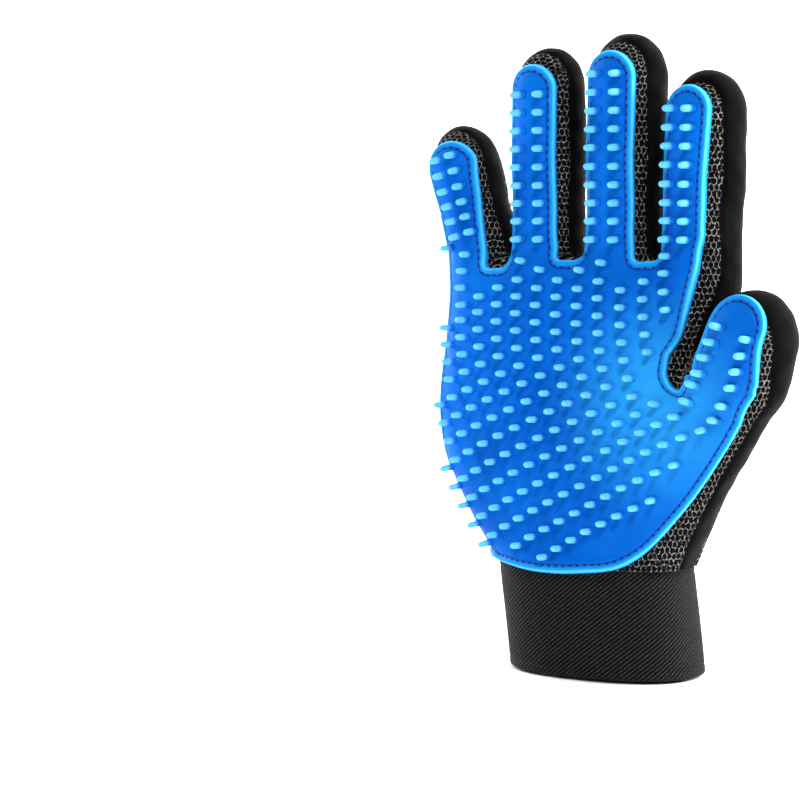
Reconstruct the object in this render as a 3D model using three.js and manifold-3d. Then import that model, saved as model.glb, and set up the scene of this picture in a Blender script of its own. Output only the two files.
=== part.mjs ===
// Right-hand pet grooming glove, worn shape, in millimetres.
// +Z runs from the wrist to the fingertips, the palm faces -Y, and the thumb is on the +X side.
// The origin is the centre of the wrist opening, at the lower rim of the cuff.
import * as THREE from "three";
import { mergeVertices } from "three/addons/utils/BufferGeometryUtils.js";
import Module from "manifold-3d";

const wasm = await Module();
wasm.setup();

// ---- Driving dimensions -------------------------------------------------------------------
const GAP = 0.3; // between pieces that touch on the real glove
const WALL = 1.6; // fabric shell
const PAD_THICK = 2.2; // moulded rubber pad
const HAND_BOTTOM = 42; // where the fabric hand meets the cuff
const SQUARENESS = 2.5; // exponent of the hand's oval section, where 2 is an ellipse
const SEAM_FRONT = 0.42; // the hand's seam between palm-side mesh and gusset, as a share of half the thickness
const SEAM_BACK = 0.42; // seam between side gusset and back mesh

const CUFF = { height: 41.7, halfWidth: 38.3, halfDepth: 25.3, thick: 2, lean: -5 };
const STRAP = { low: 10, high: 32, thick: 1.4, sewnX: 24, anchorX: 12, freeX: -27, tape: 1 };
const LOOP_PATCH = { fromX: -30, toX: 6 };
const HOOK_TAPE = { fromX: -25, toX: 2 };

const NUB = { length: 5.4, radiusRoot: 1.5, radiusTip: 1.1, sunk: 0.6, sides: 4, pitch: 6.8 };
const PALM_LEAN = 0.4; // how far palm nubs turn from the face's direction towards straight out
const DIGIT_LEAN = 4; // digit nubs stand straight out from the digit's middle

// Palm nubs stand in staggered columns, upright near the fingers and swept towards the thumb at the heel.
const PALM_NUB = {
  columns: [-9, 9], // column 0 stands at firstX
  rows: [-2, 16], // row 0 is at topZ
  firstX: -18.3,
  columnPitch: 8.8,
  topZ: 144.5,
  rowPitch: 6.35,
  rowGrowth: 0.02,
  sweep: 0.0044,
  ceilingZ: 158.5,
  ceilingRise: 0.3, // how much higher the ceiling is, per millimetre beyond littleX
  littleX: -40,
  margin: 5.6, // least distance from the pad's edge
  sideMargin: -1.6, // added on the little finger's side of the heel
  heelMargin: 4.5, // added on the thumb's half of the heel
  heelZ: 108,
  clear: 5.4, // least distance from a digit's own nubs
};

// Sections of the hand from wrist to finger roots: height, centre and half sizes.
const PALM_SECTIONS = [
  { z: HAND_BOTTOM, x: -5, halfWidth: 37.3, halfDepth: 25 },
  { z: 58, x: -8.6, halfWidth: 45.8, halfDepth: 23.5 },
  { z: 80, x: -11.4, halfWidth: 55.2, halfDepth: 22.5 },
  { z: 102, x: -11.8, halfWidth: 58.8, halfDepth: 21 },
  { z: 125, x: -11.5, halfWidth: 56, halfDepth: 18.5 },
  { z: 148, x: -8, halfWidth: 59, halfDepth: 15 },
];
const PALM_TOP = 156.4;
const PALM_ROWS = 6;
const PALM_SIDES = 20;
const PALM_ROUNDING = [1, 0.9, 0.6]; // share of the half depth left at the rounded top's rows

// The palm pad's outline as seen from the palm, in X and Z: the heel, the thumb's slot, the index
// finger's side, the slots between the fingers, and the little finger's side.
const HEEL = [
  [-67, 92],
  [-61, 68],
  [-47, 49],
  [-24, 43],
  [2, 43],
  [24, 47],
  [42, 63],
  [61, 89],
  [71.5, 112],
];
const HEEL_START = [-67, 112];
const THUMB_EDGE = [
  [80, 140],
  [56, 140],
  [46.5, 117],
];
const THUMB_SLOT = { x: 41, z: 115.5, radius: 5.5 };
const INDEX_EDGE = [
  [40.2, 128.4],
  [43.6, 141],
  [46.7, 159],
  [48.4, 172],
];
const FINGER_SLOTS = [
  { right: 29.3, left: 16.6, bottom: 154.5, radius: 4.6, lean: 0.3 },
  { right: -3, left: -16.9, bottom: 154.5, radius: 4.6, lean: 0.2 },
  { right: -35.8, left: -48, bottom: 152, radius: 3.6, lean: 3 },
];
const SLOT_TOP = 172;
const LITTLE_EDGE = [
  [-68, 172],
  [-66, 160],
  [-65, 145],
];

// Each digit: where its root, its first fold and its tip are, and its half width and half depth.
// rows is the number of nub rows between its two folds, tipRows those beyond, pad the place of its pad's
// left and right edges as shares of the half width, padEnd how far its pad stops short of the tip, and
// seamFront its own seam between palm-side mesh and gusset.
const DIGITS = {
  little: {
    fold: [-56.4, 0, 168],
    tip: [-68.2, 0, 206.5],
    halfWidth: 13.2,
    halfDepth: 12,
    rows: 3,
    tipRows: 2,
    pitch: 6.1,
    seamFront: 0.5,
    pad: [-0.78, 0.5],
    padEnd: 6,
    rootLength: 26,
  },
  ring: {
    fold: [-25, 0, 160],
    tip: [-25.6, 0, 236],
    halfWidth: 13.6,
    halfDepth: 12,
    rows: 5,
    tipRows: 4,
    pitch: NUB.pitch,
    seamFront: 0.5,
    pad: [-0.78, 0.6],
    padEnd: 7,
    rootLength: 24,
  },
  middle: {
    fold: [8.6, 0, 160],
    tip: [8.9, 0, 240],
    halfWidth: 14.8,
    halfDepth: 13,
    rows: 5,
    tipRows: 5,
    pitch: NUB.pitch,
    seamFront: 0.58,
    pad: [-0.76, 0.57],
    padEnd: 7,
    rootLength: 24,
  },
  index: {
    fold: [40.6, 0, 160],
    tip: [42.4, 0, 225.5],
    halfWidth: 14.6,
    halfDepth: 13,
    rows: 4,
    tipRows: 4,
    pitch: NUB.pitch,
    seamFront: 0.66,
    pad: [-0.76, 0.54],
    padEnd: 6,
    rootLength: 20,
  },
  thumb: {
    root: [20, -2, 50],
    fold: [59.8, -8, 112],
    tip: [72.2, -11, 144.6],
    halfWidth: 16.8,
    halfDepth: 14.6,
    rows: 0,
    tipRows: 4,
    pitch: 6,
    seamFront: 0.66,
    pad: [-0.61, 0.69],
    padEnd: 3.5,
  },
};
const DIGIT_SIDES = 12;
const DOME_ROWS = 3;
const THUMB_ROOT_ROWS = 2;
const UPPER_STUB = 0.8; // how far a digit's own frame reaches below its fold, as a share of its half width
const NUB_COLUMN = 0.36; // nub columns sit at this share of the half width, either side of the middle
const FOLD_LEAD = 2; // the fold's axis lies this far in front of the pad's face
const FABRIC_REACH = 200; // larger than the glove, for cutting blocks

// ---- Materials ------------------------------------------------------------------------------
const material = (color, roughness) => new THREE.MeshStandardMaterial({ color, roughness, metalness: 0 });
const MATERIALS = {
  pad: material(0x0f63dc, 0.42),
  mesh: material(0x3a3835, 0.85),
  gusset: material(0x131313, 0.7),
  twill: material(0x1b1b1c, 0.8),
  strap: material(0x161616, 0.8),
  hook: material(0x0c0c0c, 0.6),
  loop: material(0x202021, 0.95),
};

// ---- Solids ---------------------------------------------------------------------------------
// A closed three.js geometry as a solid that can be joined and cut.
function solidOf(geometry) {
  const plain = geometry.clone();
  plain.deleteAttribute("normal");
  plain.deleteAttribute("uv");
  const merged = mergeVertices(plain, 1e-4);
  const index = merged.index.array;
  const kept = [];
  for (let i = 0; i < index.length; i += 3) {
    const [a, b, c] = [index[i], index[i + 1], index[i + 2]];
    if (a !== b && b !== c && c !== a) kept.push(a, b, c);
  }
  const vertProperties = new Float32Array(merged.attributes.position.array);
  return new wasm.Manifold(new wasm.Mesh({ numProp: 3, vertProperties, triVerts: new Uint32Array(kept) }));
}

function meshOf(solid, look) {
  const made = solid.getMesh();
  const geometry = new THREE.BufferGeometry();
  geometry.setAttribute("position", new THREE.BufferAttribute(made.vertProperties, 3));
  geometry.setIndex(new THREE.BufferAttribute(made.triVerts, 1));
  geometry.computeVertexNormals();
  return new THREE.Mesh(geometry, look);
}

function addPiece(group, name, solid, look) {
  const piece = meshOf(solid, look);
  piece.name = name;
  group.add(piece);
}

// A block between two corners, where each corner is [x, y, z].
function block(low, high, frame = new THREE.Matrix4()) {
  const size = low.map((value, axis) => high[axis] - value);
  const centre = low.map((value, axis) => (high[axis] + value) / 2);
  return solidOf(new THREE.BoxGeometry(...size).translate(...centre).applyMatrix4(frame));
}

const reach = FABRIC_REACH;
const between = (frame, t0, t1) => block([-reach, -reach, t0], [reach, reach, t1], frame);

// ---- Hand -----------------------------------------------------------------------------------
// Smooth curves through the hand's sections, read by height.
const sectionCurve = new THREE.CatmullRomCurve3(
  PALM_SECTIONS.map((s) => new THREE.Vector3(s.x, s.halfWidth, s.halfDepth)),
);

function sectionAt(z) {
  const last = PALM_SECTIONS.length - 1;
  let i = 0;
  while (i < last - 1 && z > PALM_SECTIONS[i + 1].z) i += 1;
  const share = (z - PALM_SECTIONS[i].z) / (PALM_SECTIONS[i + 1].z - PALM_SECTIONS[i].z);
  const point = sectionCurve.getPoint(THREE.MathUtils.clamp((i + share) / last, 0, 1));
  return { x: point.x, halfWidth: point.y, halfDepth: point.z };
}

// A point of an oval whose corners are squarer than an ellipse's.
function ovalPoint(angle, halfWidth, halfDepth) {
  const power = 2 / SQUARENESS;
  const bend = (value) => Math.sign(value) * Math.abs(value) ** power;
  return [halfWidth * bend(Math.cos(angle)), halfDepth * bend(Math.sin(angle))];
}

// The hand without its digits, up to a rounded top, grown on every side.
function palmSolid(grow) {
  const low = HAND_BOTTOM - WALL;
  const shape = new THREE.CylinderGeometry(1, 1, 1, PALM_SIDES, PALM_ROWS + 2).rotateX(Math.PI / 2);
  const place = shape.attributes.position;
  for (let i = 0; i < place.count; i += 1) {
    const row = Math.round((place.getZ(i) + 0.5) * (PALM_ROWS + 2));
    const rounding = PALM_ROUNDING[Math.max(row - PALM_ROWS, 0)];
    const bodyTop = PALM_SECTIONS.at(-1).z;
    const rise = Math.max(row - PALM_ROWS, 0) / 2;
    const z = low + (bodyTop - low) * Math.min(row / PALM_ROWS, 1) + rise * (PALM_TOP + grow - bodyTop);
    const section = sectionAt(z);
    const onAxis = Math.hypot(place.getX(i), place.getY(i)) < 0.5;
    const angle = Math.atan2(place.getY(i), place.getX(i));
    const halfDepth = (section.halfDepth + grow) * rounding;
    const [x, y] = ovalPoint(angle, section.halfWidth + grow - (1 - rounding) * section.halfDepth, halfDepth);
    place.setXYZ(i, section.x + (onAxis ? 0 : x), onAxis ? 0 : y, z);
  }
  return solidOf(shape);
}

// ---- Digits ---------------------------------------------------------------------------------
// A frame whose Z runs from one point to another, and whose -Y is the palm side.
function frameAlong(from, to) {
  const origin = new THREE.Vector3(...from);
  const along = new THREE.Vector3(...to).sub(origin);
  const length = along.length();
  along.normalize();
  const across = new THREE.Vector3(0, 1, 0).cross(along).normalize();
  const back = along.clone().cross(across);
  const matrix = new THREE.Matrix4().makeBasis(across, back, along).setPosition(origin);
  return { matrix, length };
}

// A finger-shaped solid along its frame's Z, from start to a domed end at its length.
function fingerSolid(digit, frame, grow, start, domed = true) {
  const radius = digit.halfWidth + grow;
  const dome = domed ? digit.halfWidth : 0;
  const profile = [new THREE.Vector2(0, start), new THREE.Vector2(radius, start)];
  for (let k = 0; k <= DOME_ROWS && domed; k += 1) {
    const angle = (k / DOME_ROWS) * (Math.PI / 2);
    const out = k === DOME_ROWS ? 0 : radius * Math.cos(angle);
    profile.push(new THREE.Vector2(out, frame.length - dome + (dome + grow) * Math.sin(angle)));
  }
  if (!domed) profile.push(new THREE.Vector2(radius, frame.length), new THREE.Vector2(0, frame.length));
  const shape = new THREE.LatheGeometry(profile, DIGIT_SIDES).rotateX(Math.PI / 2);
  shape.scale(1, (digit.halfDepth + grow) / radius, 1).applyMatrix4(frame.matrix);
  return solidOf(shape);
}

for (const [name, digit] of Object.entries(DIGITS)) {
  digit.name = name;
  digit.frame = frameAlong(digit.fold, digit.tip);
  digit.midFold = digit.rows * digit.pitch;
  const back = new THREE.Vector3(0, 0, -(digit.rootLength ?? 0)).applyMatrix4(digit.frame.matrix);
  digit.rootFrame = frameAlong(digit.root ?? back.toArray(), digit.fold);
}

// The digit's stub on the hand, up to its first fold. A hollowing stub runs through the fold.
function stubSolid(digit, grow, hollowing) {
  const beyond = hollowing ? WALL * 2 : 0;
  const stub = fingerSolid(digit, digit.rootFrame, grow, 0, false);
  const upper = fingerSolid(digit, digit.frame, grow, -digit.halfWidth * UPPER_STUB);
  return stub.add(upper).intersect(between(digit.frame.matrix, -reach, beyond - GAP / 2));
}

function handSolid(grow, hollowing = false) {
  const stubs = Object.values(DIGITS).map((digit) => stubSolid(digit, grow, hollowing));
  return stubs.reduce((sum, stub) => sum.add(stub), palmSolid(grow));
}

// The room that the thumb's moving end takes, with a gap around its fabric or its pad.
function thumbRoom(grow) {
  const { thumb } = DIGITS;
  return fingerSolid(thumb, thumb.frame, grow + GAP, 0);
}

const largest = (solid) => solid.decompose().sort((a, b) => b.volume() - a.volume())[0];

// ---- Fabric panels --------------------------------------------------------------------------
// Cuts a fabric shell at its two seams into palm side, gusset and back, in the order they lie along Y.
function panelsOf(shell, matrix, halfDepth, seamFront = SEAM_FRONT) {
  const front = -seamFront * halfDepth;
  const back = SEAM_BACK * halfDepth;
  const slice = (y0, y1) => shell.intersect(block([-reach, y0, -reach], [reach, y1, 2 * reach], matrix));
  return {
    front: slice(-reach, front - GAP / 2),
    sides: slice(front + GAP / 2, back - GAP / 2),
    back: slice(back + GAP / 2, reach),
  };
}

const centreX = (solid) => {
  const box = solid.boundingBox();
  return (box.min[0] + box.max[0]) / 2;
};

function addHandFabric(group) {
  const floor = block([-reach, -reach, -reach], [reach, reach, HAND_BOTTOM]);
  const shell = handSolid(0).subtract(handSolid(-WALL, true)).subtract(floor).subtract(thumbRoom(0));
  const panels = panelsOf(shell, new THREE.Matrix4(), PALM_SECTIONS.at(-1).halfDepth);
  addPiece(group, "palm_mesh_panel", panels.front, MATERIALS.mesh);
  addPiece(group, "back_mesh_panel", panels.back, MATERIALS.mesh);
  const gussets = panels.sides.decompose().sort((a, b) => centreX(a) - centreX(b));
  const names = [
    "little_side_gusset",
    "little_ring_web",
    "ring_middle_web",
    "middle_index_web",
    "thumb_gusset",
  ];
  gussets.forEach((gusset, i) => addPiece(group, names[i], gusset, MATERIALS.gusset));
}

// One stretch of a digit's fabric sleeve, between two places along the digit.
function addSleeve(group, digit, stretch, t0, t1) {
  const outer = fingerSolid(digit, digit.frame, 0, -GAP);
  const inner = fingerSolid(digit, digit.frame, -WALL, -2 * WALL);
  const sleeve = outer.subtract(inner).intersect(between(digit.frame.matrix, t0, t1));
  const panels = panelsOf(sleeve, digit.frame.matrix, digit.halfDepth, digit.seamFront);
  const name = `${digit.name}_${stretch}`;
  addPiece(group, `${name}_palm_mesh`, panels.front, MATERIALS.mesh);
  addPiece(group, `${name}_back_mesh`, panels.back, MATERIALS.mesh);
  const strips = panels.sides.decompose().sort((a, b) => centreX(a) - centreX(b));
  const sides = strips.length > 1 ? ["_gusset_left", "_gusset_right"] : ["_gusset"];
  strips.forEach((strip, i) => addPiece(group, name + sides[i], strip, MATERIALS.gusset));
}

// ---- Pads and nubs --------------------------------------------------------------------------
// Where a line from outside first meets a pad, if it does.
const hitOn = (face, from, towards) => new THREE.Raycaster(from, towards).intersectObject(face)[0];

// One tapered nub at a hit on a pad. lean is how far the nub turns from the face's own direction
// towards the line that hit it.
function nubSolid(hit, towards, lean) {
  const axis = hit.face.normal.clone().addScaledVector(towards, -lean).normalize();
  const height = NUB.length + NUB.sunk;
  const shape = new THREE.CylinderGeometry(NUB.radiusTip, NUB.radiusRoot, height, NUB.sides);
  shape.translate(0, height / 2 - NUB.sunk, 0);
  shape.applyQuaternion(new THREE.Quaternion().setFromUnitVectors(new THREE.Vector3(0, 1, 0), axis));
  return solidOf(shape.translate(hit.point.x, hit.point.y, hit.point.z));
}

const joined = (pad, nubs) => nubs.reduce((sum, nub) => sum.add(nub), pad);

// A flat outline as a block that reaches from the glove's middle out past its palm side.
function outlineBlock(outline, matrix = new THREE.Matrix4()) {
  const settings = { depth: reach, bevelEnabled: false, curveSegments: 6 };
  return solidOf(new THREE.ExtrudeGeometry(outline, settings).rotateX(Math.PI / 2).applyMatrix4(matrix));
}

const padGrow = GAP + PAD_THICK;

// The lines along which a pair of nubs meets a digit's pad, at one place along the digit or on its dome.
function nubLines(digit, frame, along) {
  const domeStart = frame.length - (frame === digit.frame ? digit.halfWidth : 0);
  const rise = Math.asin(Math.max(along - domeStart, 0) / (digit.halfWidth + padGrow));
  return [-1, 1].map((side) => {
    const angle = Math.asin(side * NUB_COLUMN);
    const out = new THREE.Vector3(Math.sin(angle), -Math.cos(angle), Math.tan(rise)).normalize();
    const foot = new THREE.Vector3(0, 0, Math.min(along, domeStart)).applyMatrix4(frame.matrix);
    out.transformDirection(frame.matrix);
    return { from: foot.addScaledVector(out, 2 * digit.halfWidth), towards: out.negate() };
  });
}

function nubPair(digit, frame, face, along) {
  return nubLines(digit, frame, along).flatMap(({ from, towards }) => {
    const hit = hitOn(face, from, towards);
    return hit ? [nubSolid(hit, towards, DIGIT_LEAN)] : [];
  });
}

function addDigitPad(group, digit, stretch, t0, t1, rows) {
  const [left, right] = digit.pad.map((share) => share * digit.halfWidth);
  const half = (right - left) / 2;
  const outline = new THREE.Shape();
  outline.moveTo(left, -digit.halfWidth);
  outline.lineTo(right, -digit.halfWidth);
  outline.absarc(left + half, digit.frame.length - digit.padEnd - half, half, 0, Math.PI);
  const start = -digit.halfWidth;
  const face = fingerSolid(digit, digit.frame, padGrow, start);
  const under = fingerSolid(digit, digit.frame, GAP, start - 1);
  let pad = face
    .subtract(under)
    .intersect(outlineBlock(outline, digit.frame.matrix))
    .intersect(between(digit.frame.matrix, t0, t1));
  const plain = meshOf(pad, MATERIALS.pad);
  const first = stretch === "tip" ? digit.midFold : 0;
  for (let row = 0; row < rows; row += 1) {
    pad = joined(pad, nubPair(digit, digit.frame, plain, first + (row + 0.5) * digit.pitch));
  }
  addPiece(group, `${digit.name}_${stretch}_pad`, pad, MATERIALS.pad);
}

// The palm pad's outline, seen from the palm: along the heel, up the thumb, over the finger roots.
function palmOutline() {
  const outline = new THREE.Shape();
  outline.moveTo(...HEEL_START);
  outline.splineThru(HEEL.map((place) => new THREE.Vector2(...place)));
  THUMB_EDGE.forEach((place) => outline.lineTo(...place));
  outline.absarc(THUMB_SLOT.x, THUMB_SLOT.z, THUMB_SLOT.radius, 0, Math.PI, true);
  INDEX_EDGE.forEach((place) => outline.lineTo(...place));
  for (const { right, left, bottom, radius, lean } of FINGER_SLOTS) {
    outline.lineTo(right, SLOT_TOP);
    outline.absarc(right - radius, bottom + radius, radius, 0, -Math.PI / 2, true);
    outline.absarc(left + radius, bottom + radius, radius, -Math.PI / 2, -Math.PI, true);
    outline.lineTo(left - lean, SLOT_TOP);
  }
  LITTLE_EDGE.forEach((place) => outline.lineTo(...place));
  return outline;
}

// Distance from a place to the outline, negative outside it.
function depthInside(border, x, z) {
  let nearest = Infinity;
  let inside = false;
  for (let i = 0; i < border.length; i += 1) {
    const a = border[i];
    const b = border[(i + 1) % border.length];
    const edge = b.clone().sub(a);
    const spot = new THREE.Vector2(x, z).sub(a);
    const share = THREE.MathUtils.clamp(spot.dot(edge) / Math.max(edge.lengthSq(), 1e-9), 0, 1);
    nearest = Math.min(nearest, spot.sub(edge.multiplyScalar(share)).length());
    if (a.y > z !== b.y > z && x < ((b.x - a.x) * (z - a.y)) / (b.y - a.y) + a.x) inside = !inside;
  }
  return inside ? nearest : -nearest;
}

// Where the palm's nubs stand, as seen from the palm.
function palmNubPlaces(border) {
  const places = [];
  for (let column = PALM_NUB.columns[0]; column <= PALM_NUB.columns[1]; column += 1) {
    for (let row = PALM_NUB.rows[0]; row <= PALM_NUB.rows[1]; row += 1) {
      const step = row + (column % 2 === 0 ? 0 : 0.5);
      const fall = PALM_NUB.rowPitch * step + PALM_NUB.rowGrowth * step ** 2;
      const x = PALM_NUB.firstX + PALM_NUB.columnPitch * column + PALM_NUB.sweep * fall ** 2;
      const z = PALM_NUB.topZ - fall;
      const bare = x > 0 ? PALM_NUB.heelMargin : x < PALM_NUB.littleX ? PALM_NUB.sideMargin : 0;
      const deep = depthInside(border, x, z) > PALM_NUB.margin + (z < PALM_NUB.heelZ ? bare : 0);
      const ceiling = PALM_NUB.ceilingZ + PALM_NUB.ceilingRise * Math.max(PALM_NUB.littleX - x, 0);
      if (deep && z < ceiling) places.push(new THREE.Vector3(x, -reach, z));
    }
  }
  return places;
}

function addPalmPad(group) {
  const outline = palmOutline();
  const face = handSolid(padGrow).subtract(handSolid(GAP, true));
  let pad = largest(face.intersect(outlineBlock(outline)).subtract(thumbRoom(padGrow)));
  const plain = meshOf(pad, MATERIALS.pad);
  const { thumb } = DIGITS;
  const rootLines = Array.from({ length: THUMB_ROOT_ROWS }, (_, row) =>
    nubLines(thumb, thumb.rootFrame, thumb.rootFrame.length - (row + 0.5) * NUB.pitch),
  ).flat();
  const inward = new THREE.Vector3(0, 1, 0);
  const palmLines = palmNubPlaces(outline.getPoints(6)).map((from) => ({ from, towards: inward }));
  const taken = [];
  for (const { from, towards, lean } of [
    ...rootLines.map((line) => ({ ...line, lean: DIGIT_LEAN })),
    ...palmLines.map((line) => ({ ...line, lean: PALM_LEAN })),
  ]) {
    const hit = hitOn(plain, from, towards);
    if (!hit || taken.some((place) => place.distanceTo(hit.point) < PALM_NUB.clear)) continue;
    if (lean === DIGIT_LEAN) taken.push(hit.point);
    pad = pad.add(nubSolid(hit, towards, lean));
  }
  addPiece(group, "palm_pad", pad, MATERIALS.pad);
}

// ---- Cuff and closure -----------------------------------------------------------------------
// An upright oval block around the wrist, leaning with the cuff.
function cuffSolid(grow, low, high) {
  const shape = new THREE.CylinderGeometry(1, 1, 1, PALM_SIDES, 1).rotateX(Math.PI / 2);
  const place = shape.attributes.position;
  for (let i = 0; i < place.count; i += 1) {
    const z = place.getZ(i) > 0 ? high : low;
    const onAxis = Math.hypot(place.getX(i), place.getY(i)) < 0.5;
    const angle = Math.atan2(place.getY(i), place.getX(i));
    const [x, y] = ovalPoint(angle, CUFF.halfWidth + grow, CUFF.halfDepth + grow);
    const centre = (CUFF.lean * z) / CUFF.height;
    place.setXYZ(i, centre + (onAxis ? 0 : x), onAxis ? 0 : y, z);
  }
  return solidOf(shape);
}

// A layer on the back of the cuff, between two distances from it and two places across it.
function backLayer(inner, outer, x0, x1) {
  const ring = cuffSolid(outer, STRAP.low, STRAP.high).subtract(cuffSolid(inner, STRAP.low - 1, STRAP.high + 1));
  return ring.intersect(block([x0, 0, -reach], [x1, reach, reach]));
}

function addCuff(group) {
  const band = cuffSolid(0, 0, CUFF.height).subtract(cuffSolid(-CUFF.thick, -1, CUFF.height + 1));
  addPiece(group, "cuff_band", band, MATERIALS.twill);
  const loopTop = GAP + STRAP.tape;
  const hookTop = loopTop + GAP + STRAP.tape;
  const strapFoot = hookTop + GAP;
  addPiece(group, "loop_patch", backLayer(GAP, loopTop, LOOP_PATCH.fromX, LOOP_PATCH.toX), MATERIALS.loop);
  addPiece(group, "hook_tape", backLayer(loopTop + GAP, hookTop, HOOK_TAPE.fromX, HOOK_TAPE.toX), MATERIALS.hook);
  const strap = backLayer(strapFoot, strapFoot + STRAP.thick, STRAP.freeX, STRAP.sewnX);
  addPiece(group, "closure_strap", strap, MATERIALS.strap);
  addPiece(group, "strap_anchor", backLayer(GAP, strapFoot - GAP, STRAP.anchorX, STRAP.sewnX - GAP), MATERIALS.strap);
}

// ---- Glove ----------------------------------------------------------------------------------
const glove = new THREE.Group();
addCuff(glove);
addHandFabric(glove);
addPalmPad(glove);
for (const digit of Object.values(DIGITS)) {
  const end = digit.frame.length + reach;
  const fold = digit.midFold;
  if (fold > 0) {
    addSleeve(glove, digit, "base", GAP / 2, fold - GAP / 2);
    addDigitPad(glove, digit, "base", GAP / 2, fold - GAP / 2, digit.rows);
  }
  addSleeve(glove, digit, "tip", fold + GAP / 2, end);
  addDigitPad(glove, digit, "tip", fold + GAP / 2, end, digit.tipRows);
}

export default glove;
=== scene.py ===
import math

import bpy
import numpy as np
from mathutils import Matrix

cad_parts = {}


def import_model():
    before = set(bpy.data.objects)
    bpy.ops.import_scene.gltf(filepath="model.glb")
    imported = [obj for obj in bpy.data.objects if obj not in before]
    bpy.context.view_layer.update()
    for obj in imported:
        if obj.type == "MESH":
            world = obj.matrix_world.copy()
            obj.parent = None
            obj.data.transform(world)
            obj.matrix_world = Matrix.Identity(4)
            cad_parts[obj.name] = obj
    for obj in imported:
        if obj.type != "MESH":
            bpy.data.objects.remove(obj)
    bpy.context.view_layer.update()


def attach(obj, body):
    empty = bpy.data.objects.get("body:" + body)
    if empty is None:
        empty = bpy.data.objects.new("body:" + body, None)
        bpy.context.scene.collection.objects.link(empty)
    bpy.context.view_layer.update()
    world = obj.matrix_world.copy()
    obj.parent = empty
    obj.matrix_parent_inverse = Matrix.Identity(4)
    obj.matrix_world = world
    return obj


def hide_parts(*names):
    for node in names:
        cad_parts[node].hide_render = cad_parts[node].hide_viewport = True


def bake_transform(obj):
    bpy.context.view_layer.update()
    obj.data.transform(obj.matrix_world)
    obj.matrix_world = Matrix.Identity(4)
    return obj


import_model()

import openvdb
from mathutils import Vector

MM = 0.001

# ---- Sizes, in millimetres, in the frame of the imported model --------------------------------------
# Sections of the hand from the wrist up: height, centre, half width, half depth.
PALM_SECTIONS = np.array([
    (30, -4, 36.3, 24),
    (42, -5, 37.3, 25),
    (58, -8.6, 45.8, 23.5),
    (80, -11.4, 55.2, 22.5),
    (102, -11.8, 58.8, 21),
    (125, -11.5, 56, 18.5),
    (148, -8, 59, 15),
    (165, -8, 59, 13),
], float)
PALM_TOP = 156.4
PALM_TOP_ROUND = 9
SQUARENESS = 2.5
WEB_BLEND = 4.5
THUMB_BLEND = (1.2, 14)  # above the thumb's crotch, and below it
THUMB_ROOT_BLEND = 12
THUMB_ROOT_DEEP = 15
CROTCH = dict(low=112, high=121, deep=-20, gap=1.5)  # heights where the thumb parts from the palm
DIGIT_ROOT = 20  # how far up a digit its root's own shape reaches
SEAM_HALF = 6.3  # half the depth of the side gussets on the hand
SEAM_BACK = 0.42  # where a digit's back seam lies, as a share of its half depth; its front seam is its own
VOXEL = 1.1
FABRIC_THICK = 1.2

PAD_THICK = 2.3
PAD_BLEND = 2.5
CUFF_HEIGHT = 41.7
CUFF_LEAN = -5
CUFF_HALF = (38.3, 25.3)
CUFF_THICK = 2.0

NUB_LENGTH = 5.4
NUB_SUNK = 0.4
FAR = 1000.0  # beyond any digit
PART_FADE = 3.0  # how softly one part's coordinates give way to the next part's
NET_CELL = 2.7
HAND_BOTTOM = 41.0

# The palm pad's outline as seen from the palm: (x, z) points, and slots as (x, z, radius).
HEEL_POINTS = [
    (-67, 112), (-67, 92), (-61, 67), (-47, 47), (-24, 39.8), (2, 39.4),
    (23, 44.5), (40, 62), (59.4, 88.5), (71.9, 108.5),
]
THUMB_ROOT_POINTS = [(67, 117), (60, 121), (50.8, 122), (48.4, 118)]
THUMB_SLOT = (39.7, 115, 6.3)
INDEX_SIDE_POINTS = [
    (33.9, 120.5), (36.6, 125.2), (38.7, 130), (41.1, 137), (43.4, 144.4),
    (45.1, 151), (46, 157), (46.2, 164), (45, 172),
]
# Slots between the fingers: right and left wall, bottom, corner radius, and how far both walls lean apart.
FINGER_SLOTS = [
    (29.3, 16.6, 154.5, 4.6, 3),
    (-3, -16.9, 154.5, 4.6, 3),
    (-35.8, -47.4, 152, 3.6, 4),
]
SLOT_TOP = 172
ARC_STEPS = 16
LITTLE_SIDE_POINTS = [(-68, 172), (-66, 160), (-65, 145)]

# Height of the pad over the fabric, by depth inside its outline.
PAD_PROFILE = [
    (0, 0.3), (0.2, 1.1), (0.6, 1.9), (1.1, 2.45), (1.6, 2.7), (2.1, 2.6), (2.5, 2.3), (2.85, 1.7),
    (3.2, 1.7), (3.55, 2.2), (4.0, 2.35), (4.8, 2.3),
]
PAD_UNDER = 0.15
PAD_BOTTOM = 36.0
PAD_BACK = 6.0  # the pad lies in front of this plane
PAD_LIFT = 1.6  # how far the pad's heel stands off where it lies over the cuff's rim

NUB_PITCH = 6.8
NUB_COLUMNS = {  # how far out each digit's two columns stand, as the sine of their angle round it
    "little": (-0.12, 0.34),
    "ring": (-0.3, 0.36),
    "middle": (-0.34, 0.3),
    "index": (-0.4, 0.12),
    "thumb": (-0.3, 0.4),
}
NUB_SIDES = 14
NUB_PROFILE = [
    (1.5, -0.4), (1.95, 0.35), (1.66, 0.7), (1.55, 1.3), (1.46, 3.0),
    (1.38, 4.4), (1.2, 5.05), (0.8, 5.5), (0.35, 5.72),
]
NUB_CAP = 0.05
NUB_DEPTH = 12.0  # nubs are coloured as if this deep inside the pad
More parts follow.
